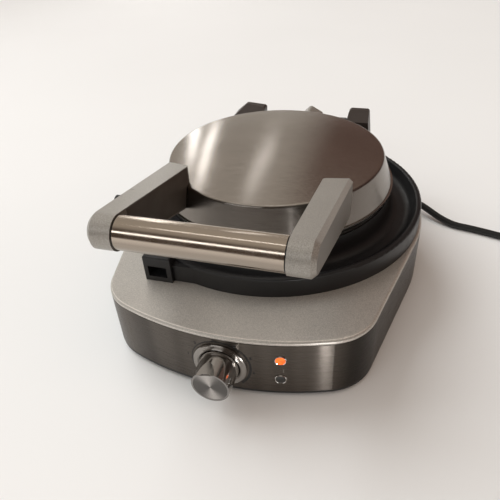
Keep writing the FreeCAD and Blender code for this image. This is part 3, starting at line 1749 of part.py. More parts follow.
def make_plug():
    """A moulded three-pin plug that lies beside the coil."""
    spot = turned_plug()
    length, radius, neck = SIZES["plug_length"], SIZES["plug_round"], SIZES["plug_neck"]
    slim = SIZES["cord_round"] + SIZES["tie_thick"]
    swell = (radius - slim) * 0.9
    outline = [(0, 0), (slim, 0), (slim, neck), (radius, neck + swell), (radius, length), (0, length)]
    wire = Part.makePolygon([Vector(x, 0, z) for x, z in outline + outline[:1]])
    handle = Part.Face(wire).revolve(Vector(0, 0, 0), Vector(0, 0, 1), 360)
    handle.Placement = spot
    soft_piece("plug_body", handle)
    wide, thick = SIZES["blade_width"], SIZES["blade_thick"]
    pins = []
    for side in (-1, 1):
        blade = Part.makeBox(thick, wide, SIZES["blade_length"])
        x, y = side * SIZES["blade_side"], SIZES["blade_rise"]
        blade.translate(Vector(x - thick / 2, y - wide / 2, length))
        pins.append(blade)
    earth = Vector(0, -SIZES["earth_drop"], length)
    pins.append(Part.makeCylinder(SIZES["earth_round"], SIZES["earth_length"], earth))
    for pin in pins:
        pin.Placement = spot.multiply(pin.Placement)
    soft_piece("plug_pins", Part.makeCompound(pins))


def make_cord_tie():
    """A flat strap round the turns on the far side of the coil."""
    centre, start, outer = coil_frame()
    angle = start + math.pi
    radial = Vector(math.cos(angle), math.sin(angle), 0)
    cord = SIZES["cord_round"]
    turns = [s / 400 for s in range(401) if abs(math.cos((s / 400 * COIL_TURNS - 0.5) * math.pi)) > 0.9999]
    reaches = [(coil_point(s) - centre).dot(radial) for s in turns]
    around = cord + SIZES["tie_slack"]
    near, far = min(reaches) - around, max(reaches) + around
    low, high = SIZES["coil_lift"] - around, SIZES["coil_lift"] + SIZES["coil_layer"] + around
    wide, thick = SIZES["tie_width"], SIZES["tie_thick"]
    frame_outer = Part.makeBox(far - near + 2 * thick, wide, high - low + 2 * thick)
    frame_outer.translate(Vector(near - thick, -wide / 2, low - thick))
    frame_inner = Part.makeBox(far - near, wide + 2 * PAST, high - low)
    frame_inner.translate(Vector(near, -wide / 2 - PAST, low))
    strap = frame_outer.cut(frame_inner)
    turn = FreeCAD.Rotation(Vector(1, 0, 0), radial)
    strap.Placement = FreeCAD.Placement(Vector(centre.x, centre.y, 0), turn)
    soft_piece("cord_tie", strap)


# Build, check and export
lower_level, upper_level = parting, lid_under
make_base_pan()
make_feet()
make_pan_screws()
make_steel_wrap()
make_deck()
make_moat_tray()
make_latch_catch()
make_plate("lower_plate", lower_level, False, True)
make_heater("lower_heater", lower_level, False)
make_reflector("lower_reflector", lower_level, False)
make_plate_screws("lower_screws", lower_level, False)
make_plate("upper_plate", upper_level, True, False)
make_heater("upper_heater", upper_level, True)
make_reflector("upper_reflector", upper_level, True)
make_plate_screws("upper_screws", upper_level, True)
make_lid_cover()
make_lid_liner()
for name, side in (("left", -1), ("right", 1)):
    make_arm(f"arm_{name}", side)
    make_arm_cover(f"arm_cover_{name}", side)
    make_hinge_post(f"hinge_post_{name}", side)
make_handle_tube()
make_tube_collars()
make_storage_latch()
make_latch_pin()
make_rear_housing()
make_hinge_pins()
make_hinge_bracket()
make_lead_cover()
make_dial_bezel()
make_dial()
make_thermostat()
make_lamps()
make_terminal_block()
make_cord_gland()
make_cord()
make_plug()
make_cord_tie()

doc.recompute()
for thing in doc.Objects:
    faults = [word for word in thing.State if word in ("Invalid", "Error")]
    if faults:
        raise RuntimeError(f"{thing.Label} is {faults}")
for piece in pieces:
    if piece.Shape.isNull() or not piece.Shape.isValid():
        raise RuntimeError(f"{piece.Label} has no valid shape")
    piece.Shape.exportStep(f"parts/{piece.Label}.step")
print(len(pieces), "nodes")
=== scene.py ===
import math
import bmesh
import bpy
from mathutils import Euler, Matrix, Vector


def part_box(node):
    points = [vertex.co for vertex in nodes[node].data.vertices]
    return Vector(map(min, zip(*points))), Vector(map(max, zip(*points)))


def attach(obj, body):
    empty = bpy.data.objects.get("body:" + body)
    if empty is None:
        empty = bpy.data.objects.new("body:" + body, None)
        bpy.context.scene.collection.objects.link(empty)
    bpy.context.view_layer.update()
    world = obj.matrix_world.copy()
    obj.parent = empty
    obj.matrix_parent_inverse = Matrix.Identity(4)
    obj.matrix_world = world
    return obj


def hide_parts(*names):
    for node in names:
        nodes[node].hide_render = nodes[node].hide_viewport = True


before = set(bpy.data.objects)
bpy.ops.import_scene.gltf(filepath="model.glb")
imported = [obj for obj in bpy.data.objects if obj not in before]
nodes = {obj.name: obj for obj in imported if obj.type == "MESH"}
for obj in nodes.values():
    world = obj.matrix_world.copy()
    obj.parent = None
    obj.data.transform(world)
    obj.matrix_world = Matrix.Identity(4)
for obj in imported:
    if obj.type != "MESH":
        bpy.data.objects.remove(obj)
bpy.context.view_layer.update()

# The object's sizes are in millimetres, and the cord's points count from the plates' axis
MM = 0.001
PLATE_AXIS = 24.5


def at(x, y, z):
    """A point in the frame, from millimetres about the plates' axis."""
    return Vector((x, y + PLATE_AXIS, z)) * MM


# Camera
CAMERA_PLACE = Vector((108.9, -393.4, 326.8)) * MM
CAMERA_YAW = math.radians(18.45)
CAMERA_PITCH = math.radians(36.5)
CAMERA_ROLL = math.radians(-3.7)
CAMERA_LENS = 37.46
CAMERA_SENSOR = 36.0


def make_camera():
    """The camera that was fitted to the photograph."""
    data = bpy.data.cameras.new("camera")
    data.lens = CAMERA_LENS
    data.sensor_width = CAMERA_SENSOR
    camera = bpy.data.objects.new("camera", data)
    bpy.context.scene.collection.objects.link(camera)
    turn = Euler((math.pi / 2 - CAMERA_PITCH, 0, CAMERA_YAW)).to_matrix()
    turn = turn @ Matrix.Rotation(CAMERA_ROLL, 3, "Z")
    camera.matrix_world = Matrix.Translation(CAMERA_PLACE) @ turn.to_4x4()
    bpy.context.scene.camera = camera


# Nodes of materials and of the world
QUARTER_TURN = 0.25
# The painted highlight of turned faces: the way, sharpness and gain of its wedge shapes
WEDGE_WAY = (-0.2, 0, 0.98)
WEDGE_SHARPNESS = 6.0
WEDGE_GAIN = 1.6


class Nodes:
    """A node tree that grows by calls."""

    def __init__(self, tree):
        self.tree = tree

    def add(self, kind, inputs=None, output=0, **settings):
        """A new node with its inputs set or linked; returns one of its outputs."""
        node = self.tree.nodes.new("ShaderNode" + kind)
        for name, value in settings.items():
            setattr(node, name, value)
        for socket, value in (inputs or {}).items():
            self.feed(node.inputs[socket], value)
        return node.outputs[output]

    def feed(self, socket, value):
        """Link a socket to another, or set its value."""
        if isinstance(value, bpy.types.NodeSocket):
            self.tree.links.new(value, socket)
        else:
            socket.default_value = value

    def between(self, value, low, high, start=0.3, end=0.7):
        """Low to high, as a value runs from start to end."""
        limits = {"From Min": start, "From Max": end, "To Min": low, "To Max": high}
        return self.add("MapRange", {"Value": value, **limits})

    def mask(self, value, start, full):
        """0 where a value is at its start or short of it, rising to 1 where it is full."""
        return self.between(value, 0.0, 1.0, start, full)


class Look(Nodes):
    """A material with one shader; its methods add the grain and tint of a finish, and painted shade
    and painted highlights.
    """

    def __init__(self, name, colour, roughness, metallic=0.0, **sockets):
        self.material = bpy.data.materials.new(name)
        self.material.use_nodes = True
        super().__init__(self.material.node_tree)
        self.shader = self.tree.nodes["Principled BSDF"]
        self.shade = None
        self.normal = None
        self.colour = colour
        self.shader.inputs["Base Color"].default_value = (*colour, 1)
        self.shader.inputs["Roughness"].default_value = roughness
        self.shader.inputs["Metallic"].default_value = metallic
        for socket, value in sockets.items():
            self.shader.inputs[socket.replace("_", " ").title()].default_value = value
        self.place = self.add("TexCoord", output="Object")

    def grain(self, size, stretch=(1, 1, 1), detail=2.0):
        """Noise in spots of about size millimetres, drawn out along the axes by stretch."""
        scale = [1 / (size * MM * s) for s in stretch]
        spots = self.add("VectorMath", {0: self.place, 1: scale}, operation="MULTIPLY")
        return self.add("TexNoise", {"Vector": spots, "Scale": 1.0, "Detail": detail})

    def spoke(self, centre, axis):
        """The way out from an axis through a point to the surface."""
        flat = [0 if letter == axis else 1 for letter in "XYZ"]
        away = self.add("VectorMath", {0: self.place, 1: centre}, operation="SUBTRACT")
        return self.add("VectorMath", {0: away, 1: flat}, operation="MULTIPLY")

    def rings(self, size, centre, axis):
        """Noise in rings of about size millimetres round an axis through a point."""
        away = self.spoke(centre, axis)
        reach = self.add("VectorMath", {0: away}, output="Value", operation="LENGTH")
        inputs = {"W": reach, "Scale": 1 / (size * MM), "Detail": 2.0}
        return self.add("TexNoise", inputs, noise_dimensions="1D")

    def facing(self, axis):
        """How far the surface faces along an axis, from -1 to 1."""
        normal = self.add("TexCoord", output="Normal")
        return self.add("SeparateXYZ", {0: normal}, output=axis)

    def either(self, mask, other):
        """The greater of two masks."""
        return self.add("Math", {0: mask, 1: other}, operation="MAXIMUM")

    def scale_colour(self, factor):
        """Make the colour lighter or darker by a factor."""
        base = self.shade or self.colour
        self.shade = self.add("VectorMath", {0: base, "Scale": factor}, operation="SCALE")
        self.feed(self.shader.inputs["Base Color"], self.shade)

    def painted_highlight_wedges(self, centre, axis, share):
        """Painted highlight: lighten two wedge shapes that meet at a centre and darken the rest, as
        turned metal shines under light.
        """
        away = self.add("VectorMath", {0: self.spoke(centre, axis)}, operation="NORMALIZE")
        inputs = {0: away, 1: WEDGE_WAY}
        lean = self.add("VectorMath", inputs, output="Value", operation="DOT_PRODUCT")
        lean = self.add("Math", {0: lean}, operation="ABSOLUTE")
        sharp = self.add("Math", {0: lean, 1: WEDGE_SHARPNESS}, operation="POWER")
        self.scale_colour(self.between(sharp, 1 - share / 2, 1 + share * WEDGE_GAIN, 0.0, 1.0))

    def tint(self, pattern, share):
        """Make the colour lighter and darker by a share, following a pattern."""
        self.scale_colour(self.between(pattern, 1 - share, 1 + share))

    def fade(self, mask, share):
        """Bring the colour to a share of itself where a mask is 0; used for painted shade, and for
        painted highlights where the share is over 1.
        """
        self.scale_colour(self.between(mask, share, 1.0, 0.0, 1.0))

    def gloss(self, pattern, low, high):
        """Let the roughness run from low to high with a pattern."""
        self.feed(self.shader.inputs["Roughness"], self.between(pattern, low, high))

    def dent(self, pattern, depth):
        """Raise and sink the surface by about depth millimetres, following a pattern."""
        inputs = {"Height": pattern, "Distance": depth * MM, "Strength": 1.0}
        if self.normal:
            inputs["Normal"] = self.normal
        self.normal = self.add("Bump", inputs)
        self.feed(self.shader.inputs["Normal"], self.normal)

    def brush(self, anisotropy, axis):
        """Stretch highlights across brush lines that run round an axis."""
        self.shader.inputs["Anisotropic"].default_value = anisotropy
        self.shader.inputs["Anisotropic Rotation"].default_value = QUARTER_TURN
        tangent = self.add("Tangent", direction_type="RADIAL", axis=axis)
        self.feed(self.shader.inputs["Tangent"], tangent)


# Finishes
DIAL_HEIGHT = 30.0
DIAL_CENTRE = (0, 0, DIAL_HEIGHT * MM)
# Painted highlight lines on the deck's front edge as (upward part of the normal, lightness)
DECK_HIGHLIGHT_LINES = [(0.90, 1.5), (0.25, 1.5)]
LINE_HALF = 0.03
LINE_END = 0.08


def brushed_lid():
    """Stainless steel, brushed from side to side on the cap and round the wall; the wall is darkened
    as painted shade.
    """
    look = Look("brushed_lid", (0.52, 0.475, 0.43), 0.27, metallic=1.0)
    on_cap = look.mask(look.facing("Z"), 0.72, 0.86)
    cap_lines = look.grain(0.30, (160, 1, 1), detail=3.0)
    wall_lines = look.grain(0.30, (60, 60, 1), detail=3.0)
    lines = look.add("Mix", {"Factor": on_cap, "A": wall_lines, "B": cap_lines})
    upright = look.add("CombineXYZ", {"Z": 1.0})
    lengthwise = look.add("CombineXYZ", {"Y": 1.0})
    inputs = {"Factor": on_cap, 4: upright, 5: lengthwise}
    tangent = look.add("Mix", inputs, output=1, data_type="VECTOR")
    look.shader.inputs["Anisotropic"].default_value = 0.88
    look.feed(look.shader.inputs["Tangent"], tangent)
    look.tint(lines, 0.10)
    look.tint(look.grain(45.0), 0.05)
    # Painted shade: the wall is brought to 0.45 of the cap's colour
    look.fade(on_cap, 0.45)
    look.gloss(lines, 0.17, 0.27)
    look.dent(lines, 0.004)
    return look.material


def brushed_band():
    """Darker steel, brushed along the wall, with painted shade darkening its right side."""
    look = Look("brushed_band", (0.115, 0.101, 0.089), 0.38, metallic=1.0)
    lines = look.grain(0.28, (120, 120, 1), detail=3.0)
    look.brush(0.99, "Z")
    look.tint(lines, 0.14)
    look.tint(look.grain(22.0, (1, 1, 60), detail=1.0), 0.24)
    # Painted shade: faces turned to the right are darkened
    look.fade(look.mask(look.facing("X"), 0.62, 0.32), 0.42)
    look.gloss(lines, 0.25, 0.32)
    look.dent(lines, 0.004)
    return look.material


def warm_paint(name, colour, metallic, lines=()):
    """Satin metallic paint with a sandy grain, darkened on its sides as painted shade, with painted
    highlight lines on its front edge.
    """
    look = Look(name, colour, 0.42, metallic=metallic)
    sand = look.grain(0.7, detail=3.0)
    look.tint(sand, 0.22)
    look.tint(look.grain(30.0), 0.03)
    upward, backward = look.facing("Z"), look.facing("Y")
    on_top = look.mask(upward, 0.1, 0.6)
    in_front = look.mask(backward, -0.3, -0.8)
    # Painted shade: faces that look neither up nor to the front are darkened
    look.fade(look.either(on_top, in_front), 0.58)
    # Painted highlights: lines of lighter colour along the front edge
    for lean, lightness in lines:
        away = look.add("Math", {0: upward, 1: lean}, operation="SUBTRACT")
        away = look.add("Math", {0: away}, operation="ABSOLUTE")
        off_line = look.mask(away, LINE_HALF, LINE_END)
        off_front = look.mask(backward, -0.35, -0.15)
        look.fade(look.either(off_line, off_front), lightness)
    look.gloss(sand, 0.32, 0.46)
    look.dent(sand, 0.025)
    return look.material


def polished_steel(name, colour, roughness, underside_shade=1.0):
    """Polished metal with faint smudges and lines; its underside is darkened to a share of the colour
    as painted shade.
    """
    look = Look(name, colour, roughness, metallic=1.0)
    smudge = look.grain(14.0, detail=4.0)
    look.gloss(smudge, roughness * 0.8, roughness * 1.7)
    look.tint(look.grain(0.4, (80, 1, 1)), 0.03)
    if underside_shade < 1.0:
        # Painted shade on the underside
        look.fade(look.mask(look.facing("Z"), 0.0, 0.35), underside_shade)
    return look.material


def knob_chrome():
    """Polished metal with faint turned rings, whose front lip is darkened to half as painted shade.
    """
    look = Look("knob_chrome", (0.55, 0.53, 0.51), 0.09, metallic=1.0)
    look.tint(look.rings(0.16, DIAL_CENTRE, "Y"), 0.05)
    # Painted shade: faces turned to the front are darkened to half
    look.fade(look.mask(look.facing("Y"), -0.95, -0.8), 0.5)
    look.gloss(look.grain(14.0, detail=4.0), 0.07, 0.15)
    return look.material


def satin_ring():
    """Turned ring with a satin face."""
    look = Look("satin_ring", (0.32, 0.30, 0.28), 0.24, metallic=1.0)
    rings = look.rings(0.2, DIAL_CENTRE, "Y")
    look.brush(0.8, "Y")
    look.tint(rings, 0.07)
    look.gloss(rings, 0.20, 0.30)
    return look.material


def spun_face():
    """Turned steel, with rings round the dial's axis and two painted highlight wedge shapes."""
    look = Look("spun_face", (0.21, 0.20, 0.192), 0.24, metallic=1.0)
    rings = look.rings(0.16, DIAL_CENTRE, "Y")
    look.brush(0.88, "Y")
    # Painted highlight: two bright wedge shapes on the face, the rest darkened
    look.painted_highlight_wedges(DIAL_CENTRE, "Y", 0.9)
    look.tint(rings, 0.08)
    look.gloss(rings, 0.20, 0.30)
    look.dent(rings, 0.003)
    return look.material


def moulding(name, colour, low, high, size=0.35, depth=0.008):
    """Moulded plastic with a fine spark-eroded grain."""
    look = Look(name, colour, (low + high) / 2)
    skin = look.grain(size, detail=3.0)
    look.tint(look.grain(25.0), 0.10)
    look.gloss(look.grain(18.0, detail=4.0), low, high)
    look.dent(skin, depth)
    return look.material


def nonstick():
    """Dark non-stick coat with fine light specks."""
    look = Look("nonstick", (0.030, 0.029, 0.028), 0.38)
    specks = look.grain(0.5, detail=1.0)
    look.tint(specks, 0.5)
    look.gloss(look.grain(9.0, detail=4.0), 0.30, 0.46)
    look.dent(specks, 0.006)
    return look.material


def sheet_metal(name, colour, low, high, stretch=(1, 1, 1)):
    """Plain metal, a little uneven."""
    look = Look(name, colour, (low + high) / 2, metallic=1.0)
    marks = look.grain(0.6, stretch, detail=3.0)
    look.tint(marks, 0.08)
    look.gloss(look.grain(12.0, detail=4.0), low, high)
    look.dent(marks, 0.004)
    return look.material


def lit_lens():
    """Orange lens with a lamp behind its facets."""
    look = Look("lit_lens", (0.9, 0.12, 0.01), 0.18, Coat_Weight=0.4)
    cells = look.grain(1.9, detail=1.0)
    glow = look.between(cells, 0.35, 1.15)
    look.shader.inputs["Emission Color"].default_value = (1.0, 0.16, 0.004, 1)
    look.feed(look.shader.inputs["Emission Strength"], glow)
    look.dent(cells, 0.10)
    return look.material


def dark_lens():
    """Unlit lens, nearly black."""
    look = Look("dark_lens", (0.004, 0.005, 0.004), 0.10, Coat_Weight=0.5)
    cells = look.grain(1.6, detail=1.0)
    look.tint(cells, 0.5)
    look.dent(cells, 0.10)
    return look.material


def rubber(name, colour, size=0.5):
    """Soft dark rubber with a grained skin."""
    look = Look(name, colour, 0.5)
    skin = look.grain(size, detail=3.0)
    look.tint(look.grain(20.0), 0.12)
    look.gloss(skin, 0.42, 0.62)
    look.dent(skin, 0.012)
    return look.material


def circuit_board():
    """Green lacquered board."""
    look = Look("circuit_board", (0.05, 0.16, 0.08), 0.35, Coat_Weight=0.3)
    look.tint(look.grain(0.4), 0.25)
    look.gloss(look.grain(3.0), 0.3, 0.45)
    return look.material


def glazed_block():
    """Pale ceramic with a thin glaze."""
    look = Look("glazed_block", (0.66, 0.63, 0.56), 0.3, Coat_Weight=0.3)
    look.tint(look.grain(2.0, detail=4.0), 0.06)
    look.dent(look.grain(1.5), 0.02)
    return look.material


def panel_ink():
    """Flat black print."""
    look = Look("panel_ink", (0.006, 0.005, 0.005), 0.5)
    look.tint(look.grain(0.3), 0.2)
    return look.material


black = (0.013, 0.013, 0.014)
chrome = polished_steel("chrome", (0.72, 0.70, 0.68), 0.07)
paint = warm_paint("warm_paint", (0.345, 0.325, 0.295), 0.4)
moat_black = moulding("moat_black", black, 0.33, 0.46)
body_black = moulding("body_black", black, 0.38, 0.52)
plain_steel = sheet_metal("plain_steel", (0.50, 0.49, 0.47), 0.25, 0.4)
coat = nonstick()
bright_sheet = sheet_metal("bright_sheet", (0.72, 0.72, 0.71), 0.16, 0.28, (30, 1, 1))
heater_sheath = sheet_metal("heater_sheath", (0.22, 0.19, 0.16), 0.4, 0.55)
brass = sheet_metal("brass", (0.62, 0.47, 0.22), 0.2, 0.34)
post_brown = moulding("post_brown", (0.040, 0.030, 0.026), 0.36, 0.48)
cover_brown = moulding("cover_brown", (0.058, 0.050, 0.043), 0.34, 0.46)
cord_black = rubber("cord_black", (0.011, 0.011, 0.011))

FINISHES = {
    "lid_cover": brushed_lid(),
    "steel_wrap": brushed_band(),
    # Painted light: the deck's paint is a lighter copy of the warm paint, making up for the shade
    # cast by the lid and arms
    "deck": warm_paint("deck_paint_lit_copy", (0.53, 0.50, 0.46), 0.5, DECK_HIGHLIGHT_LINES),
    "arm_left": paint,
    "arm_right": paint,
    # Painted shade darkens the tube's underside
    "handle_tube": polished_steel("tube_steel", (0.58, 0.50, 0.42), 0.13, 0.6),
    "dial_knob": knob_chrome(),
    "dial_bezel": satin_ring(),
    "lamp_rings": chrome,
    "dial_cap": spun_face(),
    "lead_cover": paint,
    "moat_tray": moat_black,
    "latch_catch": moat_black,
    "storage_latch": body_black,
    "arm_cover_left": cover_brown,
    "arm_cover_right": cover_brown,
    "tube_collars": body_black,
    "lid_liner": body_black,
    "rear_housing": body_black,
    "hinge_post_left": post_brown,
    "hinge_post_right": post_brown,
    "hinge_bracket": moulding("cast_dark", (0.05, 0.045, 0.04), 0.4, 0.55, 0.8, 0.03),
    "base_pan": moulding("pan_black", black, 0.45, 0.6, 0.6, 0.02),
    "thermostat": moulding("switch_black", (0.02, 0.018, 0.016), 0.3, 0.42),
    "feet": rubber("foot_rubber", (0.02, 0.02, 0.02), 0.8),
    "lower_plate": coat,
    "upper_plate": coat,
    "lower_heater": heater_sheath,
    "upper_heater": heater_sheath,
    "lower_reflector": bright_sheet,
    "upper_reflector": bright_sheet,
    "lower_screws": plain_steel,
    "upper_screws": plain_steel,
    "pan_screws": plain_steel,
    "hinge_pins": plain_steel,
    "latch_pin": plain_steel,
    "thermostat_bracket": plain_steel,
    "power_lamp": lit_lens(),
    "ready_lamp": dark_lens(),
    "lamp_board": circuit_board(),
    "terminal_block": glazed_block(),
    "dial_spindle": brass,
    "plug_pins": brass,
    "plug_body": cord_black,
    "cord_gland": cord_black,
    "cord_tie": moulding("tie_black", (0.03, 0.03, 0.03), 0.3, 0.4),
}


def finish_nodes():
    """Give each CAD node its finish."""
    for name, material in FINISHES.items():
        nodes[name].material_slots[0].material = material


def add_piece(name, data, material, body):
    """A new object in the scene that moves with a body."""
    piece = bpy.data.objects.new(name, data)
    bpy.context.scene.collection.objects.link(piece)
    data.materials.append(material)
    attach(piece, body)
    return piece


# Mains cord
CORD_ROUND = 3.5
LEAD_POINTS = [
    (102, 119.49, 13.5),
    (127.5, 119.49, 13.5),
    (166, 88, 3.5),
    (192, 83.3, 3.5),
    (222, 74.2, 3.5),
    (250, 67.2, 3.8),
    (276, 62.2, 4.6),
]
COIL_TURNS = 2.25
COIL_ROUND = 40.0
COIL_PITCH = 7.9
COIL_LIFT = 4.6
COIL_LAYER = 7.6
POINTS_PER_TURN = 16
CLIMB_TURNS = 0.5
CORD_STEPS = 6
CORD_SIDES = 6


def coil_points():
    """The turns beside the object: in on the floor, a climb where they reverse, and out on top."""
    before, end = Vector(LEAD_POINTS[-2]), Vector(LEAD_POINTS[-1])
    heading = (end - before).xy.normalized()
    left = Vector((-heading.y, heading.x))
    outer = COIL_ROUND + COIL_PITCH * COIL_TURNS / 4
    stub = CORD_ROUND * 2
    centre = end.xy + heading * stub + left * outer
    start = math.atan2(-left.y, -left.x)
    half = COIL_TURNS / 2
    points = []
    count = round(COIL_TURNS * POINTS_PER_TURN)
    for step in range(count + 1):
        turns = COIL_TURNS * step / count
        radius = outer - COIL_PITCH * (half - abs(turns - half))
        climb = min(max((turns - half + CLIMB_TURNS / 2) / CLIMB_TURNS, 0.0), 1.0)
        rise = COIL_LAYER * (1 - math.cos(math.pi * climb)) / 2
        angle = start + 2 * math.pi * turns
        spoke = Vector((math.cos(angle), math.sin(angle)))
        points.append((*(centre + spoke * radius), COIL_LIFT + rise))
    last = Vector(points[-1])
    onward = Vector((-math.sin(angle), math.cos(angle), 0))
    points.append(tuple(last + onward * stub))
    return points


def make_cord():
    """One smooth cord along the route of the two cord solids, which it replaces."""
    data = bpy.data.curves.new("mains_cord", "CURVE")
    data.dimensions = "3D"
    data.resolution_u = CORD_STEPS
    data.bevel_depth = CORD_ROUND * MM
    data.bevel_resolution = CORD_SIDES
    data.use_fill_caps = True
    route = [at(*point) for point in LEAD_POINTS + coil_points()]
    spline = data.splines.new("NURBS")
    spline.points.add(len(route) - 1)
    for point, spot in zip(spline.points, route):
        point.co = (*spot, 1)
    spline.order_u = 3
    spline.use_endpoint_u = True
    cord = add_piece("mains_cord", data, cord_black, "base")
    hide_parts("cord_lead", "cord_coil")


# Printed scale round the dial
PANEL_BOW = 232.0
INK_LIFT = 0.03
INK_THICK = 0.05
ARC_ROUND = 22.3
ARC_THIN = 0.6
ARC_THICK = 2.2
ARC_START = 205.0
ARC_END = -48.0
ARC_STEPS = 72
ARC_GROWTH = 1.5
NUMBER_TALL = 3.4
NUMBER_BOLD = 0.2
NUMBER_ACROSS = 26.0
NUMBER_RISE = 24.2
NUMBER_COUNT = 6
NUMBER_STEPS = 4
NUMBER_START = 172.0
NUMBER_END = -12.0


def on_panel(x, z):
    """A point on the bowed front panel, x to the right of the dial's axis and z above the floor."""
    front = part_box("steel_wrap")[0].y / MM
    bow = PANEL_BOW - math.sqrt(PANEL_BOW ** 2 - x ** 2)
    return Vector((x, front + bow - INK_LIFT, z)) * MM


def ring_point(across, rise, degrees):
    """A point of an oval round the dial's axis, as x and z."""
    angle = math.radians(degrees)
    return across * math.cos(angle), DIAL_HEIGHT + rise * math.sin(angle)


def draw_arc(mesh):
    """A line round the dial that grows from thin to thick."""
    pairs = []
    for step in range(ARC_STEPS + 1):
        share = step / ARC_STEPS
        degrees = ARC_START + (ARC_END - ARC_START) * share
        wide = ARC_THIN + (ARC_THICK - ARC_THIN) * share ** ARC_GROWTH
        spots = [on_panel(*ring_point(r, r, degrees)) for r in (ARC_ROUND, ARC_ROUND + wide)]
        pairs.append([mesh.verts.new(spot) for spot in spots])
    for (a, b), (c, d) in zip(pairs, pairs[1:]):
        mesh.faces.new((a, b, d, c))


def draw_number(mesh, text, x, z):
    """A plain numeral, centred on a spot of the panel."""
    letters = bpy.data.curves.new("numeral", "FONT")
    letters.body = text
    letters.size = NUMBER_TALL
    letters.align_x = "CENTER"
    letters.align_y = "CENTER"
    letters.resolution_u = NUMBER_STEPS
    letters.offset = NUMBER_BOLD
    holder = bpy.data.objects.new("numeral", letters)
    flat = bpy.data.meshes.new_from_object(holder)
    verts = [mesh.verts.new(on_panel(x + v.co.x, z + v.co.y)) for v in flat.vertices]
    for face in flat.polygons:
        mesh.faces.new([verts[n] for n in face.vertices])
    bpy.data.objects.remove(holder)


def make_dial_print():
    """The stroke and the numbers as one thin film on the panel."""
    mesh = bmesh.new()
    draw_arc(mesh)
    for number in range(NUMBER_COUNT):
        degrees = NUMBER_START + (NUMBER_END - NUMBER_START) * number / (NUMBER_COUNT - 1)
        x, z = ring_point(NUMBER_ACROSS, NUMBER_RISE, degrees)
        draw_number(mesh, str(number + 1), x, z)
    bmesh.ops.recalc_face_normals(mesh, faces=mesh.faces)
    data = bpy.data.meshes.new("dial_print")
    mesh.to_mesh(data)
    mesh.free()
    piece = add_piece("dial_print", data, panel_ink(), "base")
    film = piece.modifiers.new("film", "SOLIDIFY")
    film.thickness = INK_THICK * MM
    film.offset = 0


# Floor, light and world, in metres
FLOOR_HALF = 12.0
FLOOR_CELLS = 8
FLOOR_COLOUR = (0.81, 0.81, 0.808)


def make_floor():
    """A wide sheet of plain pale paper."""
    mesh = bmesh.new()
    bmesh.ops.create_grid(mesh, x_segments=FLOOR_CELLS, y_segments=FLOOR_CELLS, size=FLOOR_HALF)
    data = bpy.data.meshes.new("floor")
    mesh.to_mesh(data)
    mesh.free()
    floor = bpy.data.objects.new("floor", data)
    bpy.context.scene.collection.objects.link(floor)
    look = Look("floor_paper", FLOOR_COLOUR, 0.85)
    look.shader.inputs["Specular IOR Level"].default_value = 0.0
    look.tint(look.grain(400.0), 0.01)
    data.materials.append(look.material)


# Wide lights as (name, place, energy, spread in degrees, colour)
SUNS = [
    ("key", (-1.1, 0.6, 1.15), 2.0, 50, (0.96, 0.99, 1.0)),
    ("fill_front", (-0.4, -1.0, 1.1), 0.62, 80, (0.97, 1.0, 0.99)),
    ("fill_right", (1.2, -0.2, 0.9), 0.62, 80, (1.0, 0.72, 0.54)),
]
# Light for the floor to the left
PANEL_PLACE = (-1.1, -0.1, 0.9)
PANEL_TARGET = (-0.5, -0.1, 0)
PANEL_SIZE = 0.8
PANEL_POWER = 3.2
PANEL_COLOUR = (0.97, 1.0, 1.0)
# Strips as (name, start, end, width, power)
STRIPS = [
    ("window_left", (-0.79, 1.50, 0.17), (-0.83, 1.19, 0.85), 0.05, 0.40),
    ("window_right", (-0.72, 1.48, 0.46), (-0.76, 1.01, 1.09), 0.05, 0.40),
    ("window_far", (-0.37, 1.40, 0.84), (-0.45, 1.00, 1.24), 0.07, 0.16),
    ("front_lamp", (0.130, -0.248, 0.005), (0.130, -0.248, 0.045), 0.009, 0.05),
    ("front_ceiling", (-1.12, -1.31, 0.98), (-0.04, -1.57, 1.18), 0.26, 2.4),
    ("overhead", (-0.7, -0.2, 1.55), (0.3, -0.2, 1.55), 0.05, 0.5),
]
# Strips that show only as a reflection
REFLECTIONS = ["front_lamp"]
STRIP_TARGET = (0, 0, 0.1)


def strip(name, start, end, width, power):
    """A straight strip of light from start to end that faces the object, for highlights in steel."""
    start, end = Vector(start), Vector(end)
    data = bpy.data.lights.new(name, "AREA")
    data.shape = "RECTANGLE"
    data.size, data.size_y = width, (end - start).length
    data.energy = power
    lamp = bpy.data.objects.new(name, data)
    lamp.visible_camera = False
    lamp.visible_diffuse = name not in REFLECTIONS
    middle = (start + end) / 2
    along = (end - start).normalized()
    back = middle - Vector(STRIP_TARGET)
    back = (back - along * back.dot(along)).normalized()
    turn = Matrix((along.cross(back), along, back)).transposed()
    lamp.matrix_world = Matrix.Translation(middle) @ turn.to_4x4()
    bpy.context.scene.collection.objects.link(lamp)


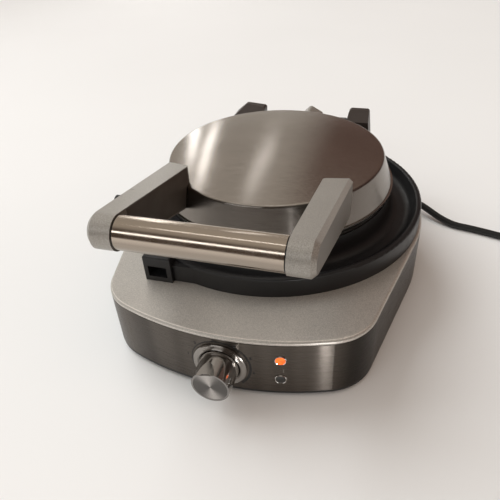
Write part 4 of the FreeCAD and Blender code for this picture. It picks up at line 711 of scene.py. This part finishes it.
def soft_lamp(name, kind, place, target, energy, colour):
    """A lamp that lights paint and floor and leaves no spot in polished steel."""
    data = bpy.data.lights.new(name, kind)
    data.energy = energy
    data.color = colour
    lamp = bpy.data.objects.new(name, data)
    lamp.visible_camera = False
    lamp.visible_glossy = False
    lamp.location = place
    way = Vector(target) - Vector(place)
    lamp.rotation_euler = way.to_track_quat("-Z", "Y").to_euler()
    bpy.context.scene.collection.objects.link(lamp)
    return data


def make_lights():
    """Soft light for the paint and the floor, and strips for the steel."""
    for name, place, energy, spread, colour in SUNS:
        sun = soft_lamp(name, "SUN", place, (0, 0, 0), energy, colour)
        sun.angle = math.radians(spread)
    panel = soft_lamp("left_panel", "AREA", PANEL_PLACE, PANEL_TARGET, PANEL_POWER, PANEL_COLOUR)
    panel.size = PANEL_SIZE
    for row in STRIPS:
        strip(*row)


# The room: heights of a direction where the ceiling starts and is full
WALL = (0.42, 0.385, 0.345)
CEILING = (0.44, 0.40, 0.35)
CEILING_START = 0.72
CEILING_FULL = 0.92
# Its dark sides as (direction, where it starts, where it is full, colour)
DARK_SIDES = [
    ((1.0, 0.0, 0.0), -0.18, -0.06, (0.13, 0.080, 0.066)),
    ((0.05, -0.96, 0.10), 0.15, 0.60, (0.080, 0.060, 0.048)),
]


def make_world():
    """A warm room: a pale wall behind to the left, dark to the right and in front, a pale ceiling."""
    world = bpy.data.worlds.new("room")
    world.use_nodes = True
    bpy.context.scene.world = world
    room = Nodes(world.node_tree)
    background = world.node_tree.nodes["Background"]
    direction = room.add("TexCoord", output="Generated")
    height = room.add("SeparateXYZ", {0: direction}, output="Z")
    shade = (*WALL, 1)
    for toward, start, full, colour in DARK_SIDES:
        inputs = {0: direction, 1: toward}
        facing = room.add("VectorMath", inputs, output="Value", operation="DOT_PRODUCT")
        share = room.mask(facing, start, full)
        shade = room.add("Mix", {0: share, 6: shade, 7: (*colour, 1)}, output=2, data_type="RGBA")
    above = room.mask(height, CEILING_START, CEILING_FULL)
    shade = room.add("Mix", {0: above, 6: shade, 7: (*CEILING, 1)}, output=2, data_type="RGBA")
    room.feed(background.inputs["Color"], shade)
    background.inputs["Strength"].default_value = 1.0


make_camera()
make_cord()
finish_nodes()
make_dial_print()
make_floor()
make_lights()
make_world()
bpy.context.scene.view_settings.view_transform = "Standard"
